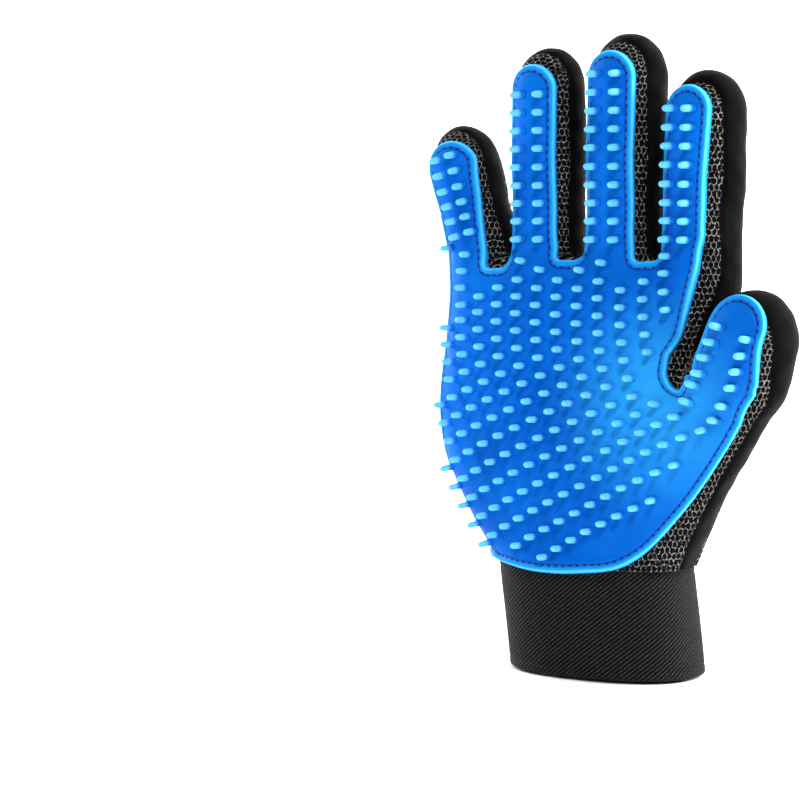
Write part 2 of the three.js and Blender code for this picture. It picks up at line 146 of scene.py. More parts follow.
# Palm nubs: where column 0 and row 0 stand, the columns' and rows' spacing, how the rows' spacing grows,
# how the columns sweep, their least distance from the pad's edge, what the heel adds to it on its right
# half and takes from it on its left, where the heel begins, and the height that no palm nub passes.
PALM_NUB = dict(
    columns=(-9, 10), rows=(-4, 17), left=-18.3, column=8.8, top=144.5, step=6.35, grow=0.02, sweep=0.0044,
    margin=4.7, heel=4.2, side=1.9, heel_top=90, ceiling=160.8, rise=0.4, size=0.84,
)
DIGIT_NUB_SIZE = 0.9
NUB_TURN = math.radians(-34)  # nubs lean towards the little finger
NUB_SPREAD = 0.5  # share of its column's own turn that a digit's nub takes
NUB_DROOP = 0.05  # and a little downwards
NUB_CLEAR = 5.4
THUMB_ROOT_ROWS = 2
STITCH = dict(length=2.1, radius=0.28, rise=0.22, pitch=3.0, depth=2.85)

STRAP = dict(
    low=10, high=32, thick=1.4, sewn_x=24, anchor_x=12, free_x=-27, patch_x=-30, patch_end=6, hook_end=2,
    tape=1, gap=0.3, bend=(25.5, 19),
)
BAND_EDGE = np.array([0, 0.06, 0.2, 0.45, 0.8])  # close steps round a band's edge
BAND_INSET = 1.2
# Where a painted highlight lightens the rubber near the thumb's crotch, in metres.
PAINTED_HIGHLIGHT_PATCH = dict(centre=(0.032, -0.024, 0.105), reach=0.05, share=0.7)
RIB = dict(angle=math.radians(36), pitch=1.25, height=0.1, step=0.33)
HEM_HEIGHT = 3.5
CUFF_WAVE = 0.35

# Where the thumb bends: from a plane through the bottom of its slit.
THUMB_BEND = dict(start=np.array((44.7, -8, 119.5)), axis=np.array((0.51, -0.08, 0.856)), length=17)
THUMB_BEND["axis"] /= np.linalg.norm(THUMB_BEND["axis"])

CAMERA = dict(angle=(34.4, 4), aim=(-64.8, -44.7, 102.5), distance=1010, lens=120)
WORLD_STRENGTH = 0.16
# Name, place, what it points at, size and power.
LIGHTS = [
    ("key", (0.55, -0.85, 1.15), (0, 0, 0.13), 0.25, 13),
    ("rim", (0.85, 0.35, 0.5), (0, 0, 0.13), 0.3, 12),
    ("fill", (-1.1, -0.8, 0.3), (0, 0, 0.12), 0.6, 1.5),
    ("backdrop_left", (-1.7, 0.1, 0.9), (-1.0, 1.4, 0.3), 0.8, 60),
    ("backdrop_right", (0.9, 0.9, 1.2), (-0.3, 1.9, 0.2), 0.8, 60),
]

# Each digit's fold and tip, half sizes, nub rows below and above its middle fold, and how far its root
# reaches into the palm. Its pad has a left and a right edge, as shares of its half width, and their slopes.
DIGITS = {
    "little": dict(
        fold=(-56.4, 0, 168), tip=(-68.2, 0, 206.5), wide=13.2, deep=12, stub=26, seam=0.5,
        pad=(-0.78, 0.55, 0, 0.12), pad_end=6, rows=3, tip_rows=2, root_rows=1, pitch=6.1,
    ),
    "ring": dict(
        fold=(-25, 0, 160), tip=(-25.6, 0, 236), wide=13.6, deep=12, stub=24, seam=0.5,
        pad=(-0.78, 0.6, 0, 0), pad_end=7, rows=5, tip_rows=4, pitch=6.8,
    ),
    "middle": dict(
        fold=(8.6, 0, 160), tip=(8.9, 0, 240), wide=14.8, deep=13, stub=24, seam=0.58,
        pad=(-0.76, 0.57, 0, 0), pad_end=7, rows=5, tip_rows=5, pitch=6.8,
    ),
    "index": dict(
        fold=(40.6, 0, 160), tip=(42.4, 0, 225.5), wide=14.6, deep=13, stub=10, fade=26, seam=0.66,
        pad=(-0.76, 0.41, 0, 0.025), pad_start=6, pad_end=6, rows=4, tip_rows=4, pitch=6.8,
    ),
    "thumb": dict(
        fold=(59.8, -8, 112), tip=(72.2, -11, 144.6), wide=16.8, deep=14.6, stub=5, seam=0.66,
        pad=(-0.74, 0.82, 0, -0.2), pad_start=6, pad_end=3.5, rows=0, tip_rows=4, pitch=6,
        bow=2.2, slim=0.08, root=(20, -2, 50),
    ),
}
FINGERS = ("little", "ring", "middle", "index")


# ---- Frames along the digits ----------------------------------------------------------------------
def frame_along(start, end):
    """Columns across, back and along of a stretch that runs from start to end, and its length."""
    start, end = np.array(start, float), np.array(end, float)
    along = end - start
    length = np.linalg.norm(along)
    along /= length
    across = np.cross((0, 1, 0), along)
    across /= np.linalg.norm(across)
    return dict(origin=start, axes=np.stack([across, np.cross(along, across), along], 1), length=length)


def local(points, place):
    return (points - place["origin"]) @ place["axes"]


def world(points, place):
    return np.asarray(points, float) @ place["axes"].T + place["origin"]


for digit in DIGITS.values():
    digit["place"] = frame_along(digit["fold"], digit["tip"])
    digit["mid"] = digit["rows"] * digit["pitch"]
DIGITS["thumb"]["root_place"] = frame_along(DIGITS["thumb"]["root"], DIGITS["thumb"]["fold"])
# Where each finger's pieces are cut, and where they bend, measured from its first fold.
for name, cut, bend, mid_half in (
    ("little", -4, (-4, 10), 8.5),
    ("ring", -1, (-1, 18), 12),
    ("middle", -1, (-1, 18), 12),
    ("index", -1, (-1, 14), 12),
):
    digit = DIGITS[name]
    digit["cut"], digit["bend"] = cut, bend
    digit["mid_bend"] = (digit["mid"] - mid_half, digit["mid"] + mid_half)


# ---- The glove's shape as a distance field --------------------------------------------------------
def sections(z):
    """Centre, half width and half depth of the hand at heights z, on smooth curves through the table."""
    heights = PALM_SECTIONS[:, 0]
    z = np.clip(z, heights[0], heights[-1] - 1e-6)
    i = np.clip(np.searchsorted(heights, z, "right") - 1, 0, len(heights) - 2)
    before, after = np.maximum(i - 1, 0), np.minimum(i + 2, len(heights) - 1)
    step = heights[i + 1] - heights[i]
    t = (z - heights[i]) / step
    out = []
    for column in PALM_SECTIONS[:, 1:].T:
        slope0 = (column[i + 1] - column[before]) / (heights[i + 1] - heights[before]) * step
        slope1 = (column[after] - column[i]) / (heights[after] - heights[i]) * step
        out.append(
            (2 * t**3 - 3 * t**2 + 1) * column[i] + (t**3 - 2 * t**2 + t) * slope0
            + (3 * t**2 - 2 * t**3) * column[i + 1] + (t**3 - t**2) * slope1
        )
    return out


def smooth_min(a, b, k):
    h = np.maximum(k - np.abs(a - b), 0) / k
    return np.minimum(a, b) - h * h * k / 4


def smooth_step(low, high, value):
    t = np.clip((value - low) / (high - low), 0, 1)
    return t * t * (3 - 2 * t)


def palm_distance(p):
    centre, wide, deep = sections(p[:, 2])
    x, y = np.abs(p[:, 0] - centre) / wide, np.abs(p[:, 1]) / deep
    n = SQUARENESS
    k = (x**n + y**n + 1e-9) ** (1 / n)
    slope = np.hypot((x / k) ** (n - 1) / wide, (y / k) ** (n - 1) / deep)
    side = (k - 1) / np.maximum(slope, 1e-4)
    return -smooth_min(-side, PALM_TOP - p[:, 2], PALM_TOP_ROUND)


def finger_profile(t, digit):
    """Share of the full size along a digit: a slight waist, a fuller middle joint, a slimmer end."""
    length = digit["place"]["length"]
    mid = digit["mid"] if digit["mid"] > 0 else length * 0.45
    joint = 0.028 * np.exp(-(((t - mid) / 8) ** 2))
    waist = -0.03 * np.exp(-(((t - mid * 0.45) / 8) ** 2))
    end = -0.05 * np.clip((t - mid) / (length - mid), 0, 1) ** 2
    return 1 + joint + waist + end


def digit_distance(p, digit):
    q = local(p, digit["place"])
    length, wide, deep = digit["place"]["length"], digit["wide"], digit["deep"]
    size = finger_profile(q[:, 2], digit)
    dome = wide * 1.05
    over = np.maximum(q[:, 2] - (length - dome), 0) / dome
    under = np.maximum(-digit["stub"] - q[:, 2], 0) / digit.get("fade", 6)
    lower = np.clip(1 - q[:, 2] / DIGIT_ROOT, 0, 1.5) ** 2
    size = size - digit.get("slim", 0) * lower
    x, y = (q[:, 0] + digit.get("bow", 0) * lower) / (wide * size), q[:, 1] / (deep * size)
    over = np.maximum(over, under)
    k0 = np.sqrt(x * x + y * y + over * over) + 1e-9
    k1 = np.sqrt((x / wide) ** 2 + (y / deep) ** 2 + (over / dome) ** 2) + 1e-9
    return k0 * (k0 - 1) / k1


def thumb_root_distance(p):
    thumb = DIGITS["thumb"]
    q = local(p, thumb["root_place"])
    length = thumb["root_place"]["length"]
    rise = np.clip(q[:, 2] / length, 0, 1)
    wide, deep = 15.6 + 1.2 * rise, 15.5 - 0.9 * rise
    past = np.maximum(q[:, 2] - length, 0) / 14 + np.maximum(-q[:, 2], 0) / 10
    x, y = q[:, 0] / wide, q[:, 1] / deep
    k0 = np.sqrt(x * x + y * y + past * past) + 1e-9
    k1 = np.sqrt((x / wide) ** 2 + (y / deep) ** 2 + (past / 12) ** 2) + 1e-9
    return k0 * (k0 - 1) / k1


def thumb_distance(p):
    return smooth_min(digit_distance(p, DIGITS["thumb"]), thumb_root_distance(p), THUMB_ROOT_BLEND)


def fingers_distance(p):
    fingers = np.min([digit_distance(p, DIGITS[name]) for name in FINGERS], axis=0)
    return smooth_min(palm_distance(p), fingers, WEB_BLEND)


def glove_distance(p):
    """The thumb grows out of the palm low down, and above its crotch lies beside it with a gap."""
    hand, thumb = fingers_distance(p), thumb_distance(p)
    part = smooth_step(CROTCH["low"], CROTCH["high"], p[:, 2])
    gap = CROTCH["deep"] + (CROTCH["gap"] - CROTCH["deep"]) * part
    thumb = -smooth_min(-thumb, hand - gap, 2)
    soft = THUMB_BLEND[1] + (THUMB_BLEND[0] - THUMB_BLEND[1]) * smooth_step(100, 119, p[:, 2])
    return smooth_min(hand, thumb, soft)


def gradient(field, p, step=0.25):
    out = np.empty_like(p)
    for axis in range(3):
        shift = np.zeros(3)
        shift[axis] = step
        out[:, axis] = (field(p + shift) - field(p - shift)) / (2 * step)
    return out


def unit(v):
    return v / np.maximum(np.linalg.norm(v, axis=1, keepdims=True), 1e-12)


def settle(p, field, rounds=3):
    """Moves points onto the field's zero surface."""
    for _ in range(rounds):
        g = gradient(field, p)
        p = p - g * (field(p) / np.maximum((g * g).sum(1), 1e-6))[:, None]
    return p


def surface_mesh():
    """The glove's whole outer surface as triangles of about one voxel."""
    low, high = np.array([-84, -34, 34.0]), np.array([90, 30, 246.0])
    counts = np.ceil((high - low) / VOXEL).astype(int)
    steps = [low[axis] + np.arange(counts[axis]) * VOXEL for axis in range(3)]
    grid = np.stack(np.meshgrid(*steps, indexing="ij"), -1)
    values = glove_distance(grid.reshape(-1, 3)).reshape(counts)
    volume = openvdb.FloatGrid(background=9.0)
    volume.copyFromArray(values.astype(np.float32))
    points, quads = volume.convertToQuads(isovalue=0.0)
    points = points.astype(float) * VOXEL + low
    tris = np.concatenate([quads[:, [0, 1, 2]], quads[:, [0, 2, 3]]]).astype(int)
    return dict(co=settle(points, glove_distance), tri=tris)


# ---- Working with the surface ---------------------------------------------------------------------
def split_at(mesh, name, level, snap=0.06):
    """Adds vertices where the value called name crosses level, so that each triangle lies on one side."""
    value = mesh["at"][name]
    value[np.abs(value - level) < snap] = level
    side = np.sign(value - level)
    tri = mesh["tri"]
    crossing = (side[tri].max(1) > 0) & (side[tri].min(1) < 0)
    work = tri[crossing]
    if not len(work):
        return mesh
    count = len(value)
    edges = np.stack([work, np.roll(work, -1, 1)], -1)
    crossed = side[edges[..., 0]] * side[edges[..., 1]] < 0
    low, high = edges.min(-1), edges.max(-1)
    keys, inverse = np.unique((low * count + high)[crossed], return_inverse=True)
    a, b = keys // count, keys % count
    share = (level - value[a]) / (value[b] - value[a])
    added = np.full(work.shape, -1)
    added[crossed] = count + inverse
    mesh["co"] = np.concatenate([mesh["co"], mix(mesh["co"][a], mesh["co"][b], share)])
    for key, old in mesh["at"].items():
        mesh["at"][key] = np.concatenate([old, mix(old[a], old[b], share)])
    mesh["at"][name][count:] = level
    made = [tri[~crossing]]
    for corner in range(3):
        v, m = np.roll(work, -corner, 1), np.roll(added, -corner, 1)
        one = (m[:, 0] >= 0) & (m[:, 1] < 0) & (m[:, 2] < 0)
        two = (m[:, 0] >= 0) & (m[:, 2] >= 0)
        for rows, corners in (
            (one, (v[:, 0], m[:, 0], v[:, 2])),
            (one, (m[:, 0], v[:, 1], v[:, 2])),
            (two, (v[:, 0], m[:, 0], m[:, 2])),
            (two, (m[:, 0], v[:, 1], v[:, 2])),
            (two, (m[:, 0], v[:, 2], m[:, 2])),
        ):
            made.append(np.stack(corners, 1)[rows])
    mesh["tri"] = np.concatenate(made)
    return mesh


def mix(a, b, share):
    return a + (b - a) * (share if a.ndim == 1 else share[:, None])


def middle(mesh, name):
    """The value called name at the middle of each triangle."""
    return mesh["at"][name][mesh["tri"]].mean(1)


def keep(mesh, chosen):
    """The mesh with only its chosen triangles."""
    used, tri = np.unique(mesh["tri"][chosen], return_inverse=True)
    return dict(co=mesh["co"][used], tri=tri.reshape(-1, 3), at={k: v[used] for k, v in mesh["at"].items()})


def vertex_normals(co, tri):
    """Normals weighted by the corners' angles, so that thin triangles don't tilt them."""
    total = np.zeros_like(co)
    face = unit(np.cross(co[tri[:, 1]] - co[tri[:, 0]], co[tri[:, 2]] - co[tri[:, 0]]))
    for corner in range(3):
        here = co[tri[:, corner]]
        to_next = unit(co[tri[:, (corner + 1) % 3]] - here)
        to_last = unit(co[tri[:, (corner + 2) % 3]] - here)
        angle = np.arccos(np.clip((to_next * to_last).sum(1), -1, 1))
        for axis in range(3):
            total[:, axis] += np.bincount(tri[:, corner], face[:, axis] * angle, len(co))
    return unit(total)


def shell(mesh, chosen, top, under, normal):
    """A closed sheet: the chosen triangles at top, the same turned over at under, and walls between."""
    used, tri = np.unique(mesh["tri"][chosen], return_inverse=True)
    tri = tri.reshape(-1, 3)
    count = len(used)
    edges = np.concatenate([tri[:, [0, 1]], tri[:, [1, 2]], tri[:, [2, 0]]])
    back = set(map(tuple, edges[:, ::-1].tolist()))
    forward = set(map(tuple, edges.tolist()))
    rim = np.array(sorted(forward - back))
    walls = np.concatenate([
        np.stack([rim[:, 1], rim[:, 0], rim[:, 0] + count], 1),
        np.stack([rim[:, 1], rim[:, 0] + count, rim[:, 1] + count], 1),
    ])
    co = np.concatenate([top[used], under[used]])
    n = normal[used]
    flat = unit(np.cross(co[walls[:, 1]] - co[walls[:, 0]], co[walls[:, 2]] - co[walls[:, 0]]))
    return dict(
        co=co,
        tri=np.concatenate([tri, tri[:, ::-1] + count, walls]),
        normal=np.concatenate([n[tri], -n[tri[:, ::-1]], np.repeat(flat[:, None], 3, 1)]),
        at={k: np.concatenate([v[used], v[used]]) for k, v in mesh["at"].items()},
    )


def joined(solids):
    """Several closed solids as one piece."""
    starts = np.cumsum([0] + [len(s["co"]) for s in solids])
    names = sorted(set.intersection(*(set(s["at"]) for s in solids)))
    return dict(
        co=np.concatenate([s["co"] for s in solids]),
        tri=np.concatenate([s["tri"] + start for s, start in zip(solids, starts)]),
        normal=np.concatenate([s["normal"] for s in solids]),
        at={k: np.concatenate([s["at"][k] for s in solids]) for k in names},
    )


def smooth_solid(co, tri, at):
    return dict(co=co, tri=tri, normal=vertex_normals(co, tri)[tri], at=at)


def add_object(name, solid, material, attributes=()):
    data = bpy.data.meshes.new(name)
    data.from_pydata((solid["co"] * MM).tolist(), [], solid["tri"].tolist())
    data.polygons.foreach_set("use_smooth", np.ones(len(solid["tri"]), bool))
    for key in attributes:
        value = solid["at"][key].astype(np.float32)
        kind = "FLOAT" if value.ndim == 1 else "FLOAT_VECTOR"
        field = "value" if value.ndim == 1 else "vector"
        data.attributes.new(key, kind, "POINT").data.foreach_set(field, value.ravel())
    data.materials.append(material)
    data.normals_split_custom_set(solid["normal"].reshape(-1, 3).tolist())
    piece = bpy.data.objects.new(name, data)
    bpy.context.scene.collection.objects.link(piece)
    return piece


# ---- Which digit, which panel, how far inside the pad ---------------------------------------------
def digit_along(p, name):
    """How far past the digit's fold a point is, and far before it on the rest of the glove."""
    digit = DIGITS[name]
    if name == "thumb":
        past = (p - THUMB_BEND["start"]) @ THUMB_BEND["axis"]
        own = thumb_distance(p) <= fingers_distance(p)
    else:
        past = local(p, digit["place"])[:, 2]
        mine = digit_distance(p, digit)
        own = mine <= np.min([digit_distance(p, DIGITS[other]) for other in DIGITS], axis=0)
    return np.where(own, past, -FAR)


def seam_place(p):
    """-1 at the seam between palm mesh and side gusset, 1 at the seam between gusset and back mesh."""
    parts = [(palm_distance(p), p[:, 1] / SEAM_HALF)]
    for digit in DIGITS.values():
        back = local(p, digit["place"])[:, 1] / digit["deep"]
        place = (2 * back + digit["seam"] - SEAM_BACK) / (digit["seam"] + SEAM_BACK)
        parts.append((digit_distance(p, digit), place))
    root = local(p, DIGITS["thumb"]["root_place"])
    parts.append((thumb_root_distance(p), root[:, 1] / SEAM_HALF))
    weights = [np.exp(-np.clip(distance, -20, 60) / PART_FADE) for distance, _ in parts]
    return sum(w * s for w, (_, s) in zip(weights, parts)) / sum(weights)


def weave_place(p):
    """Flat coordinates for the net, in millimetres, that wrap round the sides and tips of each part."""
    centre, _, depth = sections(p[:, 2])
    parts = [(palm_distance(p), p[:, 0] - centre, depth - np.abs(p[:, 1]), 0 * centre)]
    for digit in DIGITS.values():
        q = local(p, digit["place"])
        length = digit["place"]["length"]
        depth = digit["deep"] * finger_profile(q[:, 2], digit)
        domed = smooth_step(length - digit["wide"], length - digit["wide"] * 0.4, q[:, 2])
        parts.append((digit_distance(p, digit), q[:, 0], depth - np.abs(q[:, 1]), domed))
    q = local(p, DIGITS["thumb"]["root_place"])
    parts.append((thumb_root_distance(p), q[:, 0], THUMB_ROOT_DEEP - np.abs(q[:, 1]), 0 * centre))
    nearest = np.stack([part[0] for part in parts]).argmin(0)[None]
    across, drop, domed = (
        np.take_along_axis(np.stack([part[i] for part in parts]), nearest, 0)[0] for i in (1, 2, 3)
    )
    side = np.sign(across) * (1 - domed)
    return np.stack([p[:, 0] + drop * side, p[:, 2] + drop * domed, 0 * domed], 1)


def spline(points, steps=10):
    """A Catmull-Rom curve through the points."""
    p = np.array(points, float)
    p = np.concatenate([[2 * p[0] - p[1]], p, [2 * p[-1] - p[-2]]])
    t = np.linspace(0, 1, steps, endpoint=False)[:, None]
    out = []
    for a, b, c, d in zip(p, p[1:], p[2:], p[3:]):
        square, cube = 2 * a - 5 * b + 4 * c - d, 3 * b - a - 3 * c + d
        out.append(0.5 * (2 * b + (c - a) * t + square * t**2 + cube * t**3))
    return np.concatenate(out + [p[-2:-1]])


def arc_below(x, z, radius):
    """The lower half of a circle, from its right end to its left end."""
    angle = -np.linspace(0, math.pi, ARC_STEPS)
    return np.stack([x + radius * np.cos(angle), z + radius * np.sin(angle)], 1)


def palm_outline():
    """The palm pad's outline seen from the palm: the heel, the thumb's root and the finger roots."""
    runs = [spline(HEEL_POINTS), THUMB_ROOT_POINTS, arc_below(*THUMB_SLOT), spline(INDEX_SIDE_POINTS)]
    for right, left, bottom, radius, lean in FINGER_SLOTS:
        level = bottom + radius
        quarter = ARC_STEPS // 2
        runs += [
            [(right + lean, SLOT_TOP)], arc_below(right - radius, level, radius)[:quarter],
            arc_below(left + radius, level, radius)[quarter:], [(left - lean, SLOT_TOP)],
        ]
    runs.append(LITTLE_SIDE_POINTS)
    return np.concatenate([np.array(run, float) for run in runs])


def inside_outline(points, outline):
    """Distance from flat points to the outline, negative outside it."""
    nearest = np.full(len(points), np.inf)
    inside = np.zeros(len(points), bool)
    for a, b in zip(outline, np.roll(outline, -1, 0)):
        run = b - a
        length = run @ run
        if length < 1e-9:
            continue
        spot = points - a
        share = np.clip(spot @ run / length, 0, 1)
        nearest = np.minimum(nearest, np.linalg.norm(spot - share[:, None] * run, axis=1))
        if a[1] != b[1]:
            level = (a[1] > points[:, 1]) != (b[1] > points[:, 1])
            inside ^= level & (points[:, 0] < run[0] * (points[:, 1] - a[1]) / run[1] + a[0])
    return np.where(inside, nearest, -nearest)


def pad_flat_depth(p):
    """Depth inside the pad's outline, measured flat, seen from the palm."""
    beside = (thumb_distance(p) - fingers_distance(p)) * smooth_step(114, 120, p[:, 2]) * 4
    depth = inside_outline(p[:, [0, 2]], PALM_OUTLINE) - np.maximum(-beside, 0)
    for name, digit in DIGITS.items():
        q = local(p, digit["place"])
        left, right, left_slope, right_slope = digit["pad"]
        end = digit["place"]["length"] - digit["pad_end"]
        high = end - ((right - left) * digit["wide"] + (right_slope - left_slope) * end) / 2
        level = np.clip(q[:, 2], digit.get("pad_start", -digit["stub"] * 0.5), high)
        left, right = left * digit["wide"] + left_slope * level, right * digit["wide"] + right_slope * level
        inside = (right - left) / 2 - np.hypot(q[:, 0] - (left + right) / 2, q[:, 2] - level)
        inside -= np.maximum(beside, 0) if name == "thumb" else np.maximum(-beside, 0)
        depth = -smooth_min(-depth, -inside, PAD_BLEND)
    return depth


def pad_depth(p, normal):
    """Depth inside the pad's outline, measured along the glove's surface."""
    slope = gradient(pad_flat_depth, p)
    slope -= (slope * normal).sum(1, keepdims=True) * normal
    depth = pad_flat_depth(p) / np.maximum(np.linalg.norm(slope, axis=1), 0.35)
    return np.where(local_front(p) < 0, depth, -FAR)


def local_front(p):
    """Negative on the palm side of each part of the glove."""
    parts = [(palm_distance(p), p[:, 1])]
    for digit in DIGITS.values():
        parts.append((digit_distance(p, digit), local(p, digit["place"])[:, 1]))
    distance = np.stack([d for d, _ in parts])
    return np.take_along_axis(np.stack([y for _, y in parts]), distance.argmin(0)[None], 0)[0]


def stretches():
    """Each stretch of the glove: its name, its digit, and its range past the digit's first fold."""
    out = [("hand", None, -FAR, 0)]
    for name, digit in DIGITS.items():
        if name == "thumb":
            out.append(("thumb_tip", name, 0, FAR))
        else:
            cut, half = digit["cut"], digit["mid"] * 0.5
            out += [(name + "_base", name, cut, half), (name + "_tip", name, half, FAR)]
    return out


def stretch_of(along):
    """The stretch number of each place, from its distances past the digits' folds."""
    number = np.zeros(len(next(iter(along.values()))), int)
    for i, (_, digit, low, high) in enumerate(stretches()):
        if digit:
            number[(along[digit] > low) & (along[digit] <= high)] = i
    return number


def place_piece(piece, stretch):
    """Lets a piece of the hand's stretch ride on the hand, and bakes a digit's piece where it stands."""
    name, digit, _, _ = stretch
    if digit is None:
        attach(piece, "hand")
        return
    if digit == "thumb":
        start = np.array(THUMB_BEND["start"])
        end = start + THUMB_BEND["axis"] * THUMB_BEND["length"]
        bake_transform(piece)
        return
    first = name.endswith("base")
    low, high = DIGITS[digit]["bend"] if first else DIGITS[digit]["mid_bend"]
    place = DIGITS[digit]["place"]
    start, end = world([(0, 0, low), (0, 0, high)], place)
    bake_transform(piece)


# ---- Fabric ---------------------------------------------------------------------------------------
def fabric_relief(p, seam):
    """Height of the fabric over the plain form: seams pull in, and the cloth between them is uneven."""
    crease = np.exp(-(((np.abs(seam) - 1) * SEAM_HALF / 0.9) ** 2))
    lip = np.exp(-((((np.abs(seam) - 1) * SEAM_HALF - 2.1) / 1.2) ** 2))
    across = np.sin(p[:, 2] * 0.55 + 1.7 * np.sin(p[:, 0] * 0.11))
    across *= np.sin(p[:, 0] * 0.33 + p[:, 1] * 0.47 + 2)
    long = np.sin(p[:, 2] * 0.19 + p[:, 0] * 0.08 + p[:, 1] * 0.21)
    return -0.55 * crease + 0.18 * lip + 0.13 * across + 0.16 * long


# The hand's gussets, and where across it each one lies.
HAND_GUSSETS = [
    ("little_side_gusset", -60),
    ("little_ring_web", -40.2),
    ("ring_middle_web", -8.2),
    ("middle_index_web", 24.6),
    ("thumb_gusset", 55),
]
WEB_HEIGHT = 146  # below it the hand has only its two side gussets
HAND_PANELS = {"palm": "palm_mesh_panel", "back": "back_mesh_panel"}


def gusset_nodes(stretch, digit, centre):
    """The CAD node that each gusset triangle stands for, from its middle point."""
    if digit is None:
        names, xs = zip(*HAND_GUSSETS)
        nearest = np.abs(centre[:, 0][:, None] - np.array(xs)).argmin(1)
        side = np.where(centre[:, 0] < 0, 0, len(names) - 1)
        nearest = np.where(centre[:, 2] < WEB_HEIGHT, side, nearest)
        return [(name, nearest == i) for i, name in enumerate(names)]
    if stretch.endswith("tip"):
        return [(stretch + "_gusset", np.ones(len(centre), bool))]
    right = local(centre, DIGITS[digit]["place"])[:, 0] > 0
    return [(stretch + "_gusset_left", ~right), (stretch + "_gusset_right", right)]


def add_fabric(surface, materials):
    mesh = dict(co=surface["co"], tri=surface["tri"], at=dict(surface["at"]))
    for level in (-1, 1):
        split_at(mesh, "seam", level, 0.02)
    co, tri = mesh["co"], mesh["tri"]
    plain = vertex_normals(co, tri)
    top = co + plain * fabric_relief(co, mesh["at"]["seam"])[:, None]
    normal = vertex_normals(top, tri)
    under = top - plain * FABRIC_THICK
    mesh["at"]["weave"] = weave_place(co)
    centre = co[tri].mean(1)
    seam = middle(mesh, "seam")
    number = stretch_of({name: middle(mesh, "along_" + name) for name in DIGITS})
    for i, stretch in enumerate(stretches()):
        name, digit = stretch[:2]
        mine = number == i
        sides = [("palm", seam < -1), ("back", seam > 1)]
        wanted = [
            (HAND_PANELS[side] if digit is None else f"{name}_{side}_mesh", mine & chosen, "mesh_fabric")
            for side, chosen in sides
        ]
        between = mine & (np.abs(seam) < 1)
        for node, chosen in gusset_nodes(name, digit, centre):
            wanted.append((node, between & chosen, "stretch_gusset"))
        for node, chosen, slot in wanted:
            solid = shell(mesh, chosen, top, under, normal)
            piece = add_object(node + "_cloth", solid, materials[slot], ["weave"])
            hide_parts(node)
            place_piece(piece, stretch)


# ---- Moulded pad, its nubs and its stitching ------------------------------------------------------
def pad_height(depth):
    """The pad's profile from its edge inwards: a rolled rim, a stitched groove, a thin ridge, the field."""
    at, height = np.array(PAD_PROFILE).T
    return np.interp(depth, at, height)


def nub_solid():
    """One nub along +Z as a closed lathe, with its foot spread where it meets the pad."""
    profile = np.array(NUB_PROFILE, float)
    turns = np.arange(NUB_SIDES) * 2 * math.pi / NUB_SIDES
    rings = profile[:, None, :1] * np.stack([np.cos(turns), np.sin(turns)], 1)[None]
    level = np.repeat(profile[:, 1], NUB_SIDES).reshape(len(profile), NUB_SIDES, 1)
    co = np.concatenate([rings, level], 2).reshape(-1, 3)
    co = np.concatenate([co, [(0, 0, profile[0, 1]), (0, 0, profile[-1, 1] + NUB_CAP)]])
    foot, tip = len(co) - 2, len(co) - 1
    last = (len(profile) - 1) * NUB_SIDES
    tri = []
    for j in range(NUB_SIDES):
        k = (j + 1) % NUB_SIDES
        tri += [(foot, k, j), (tip, last + j, last + k)]
        for i in range(len(profile) - 1):
            a, b = i * NUB_SIDES, (i + 1) * NUB_SIDES
            tri += [(a + j, a + k, b + k), (a + j, b + k, b + j)]
    tri = np.array(tri)
    # tip runs from 0 at the nub's foot to 1 at its end; the rubber pales the ends by it, partly as a painted
    # highlight.
    at = dict(tip=smooth_step(0.5, NUB_LENGTH, co[:, 2]), depth=np.full(len(co), NUB_DEPTH))
    return smooth_solid(co, tri, at)


def turned(solid, place, axis, girth):
    """The solid with its Z axis along axis, its foot at place, and its girth scaled."""
    side = np.cross(axis, (0.3, 0.2, 0.93))
    side /= np.linalg.norm(side)
    turn = np.stack([side, np.cross(axis, side), axis], 1)
    shape = dict(solid)
    shape["co"] = (solid["co"] * (girth, girth, 1)) @ turn.T + place
    shape["normal"] = solid["normal"] @ turn.T
    return shape


def first_hit(start, direction, reach):
    """Where lines from outside first meet the glove's surface."""
    step = 0.5
    far = np.zeros(len(start))
    open_line = np.ones(len(start), bool)
    for i in range(int(reach / step)):
        here = start + direction * (i * step)
        inside = glove_distance(here) < 0
        far[open_line & inside] = i * step
        open_line &= ~inside
    hit = settle(start + direction * far[:, None], glove_distance, 4)
    return hit, ~open_line


def palm_nub_places():
    """Staggered columns of nubs, upright near the fingers and sweeping towards the thumb at the heel."""
    rule = PALM_NUB
    places = []
    for column in range(*rule["columns"]):
        for row in range(*rule["rows"]):
            step = row + 0.5 * (column % 2)
            z = rule["top"] - rule["step"] * step - rule["grow"] * step**2
            x = rule["left"] + rule["column"] * column + rule["sweep"] * (rule["top"] - z) ** 2
            bare = rule["heel"] * smooth_step(-10, 30, x) - rule["side"] * smooth_step(-35, -45, x)
            margin = rule["margin"] + bare * (z < rule["heel_top"])
            ceiling = rule["ceiling"] + rule["rise"] * max(-40 - x, 0)
            if z < ceiling and inside_outline(np.array([[x, z]]), PALM_OUTLINE)[0] > margin:
                places.append((x, z))
    return places


def palm_nubs():
    flat = np.array(palm_nub_places())
    start = np.stack([flat[:, 0], np.full(len(flat), -60.0), flat[:, 1]], 1)
    direction = np.tile((0.0, 1.0, 0.0), (len(flat), 1))
    hit, found = first_hit(start, direction, 70)
    normal = unit(gradient(glove_distance, hit))
    axis = unit(normal + (math.sin(NUB_TURN), -math.cos(NUB_TURN), -NUB_DROOP))
    return hit[found], axis[found], np.full(found.sum(), PALM_NUB["size"])


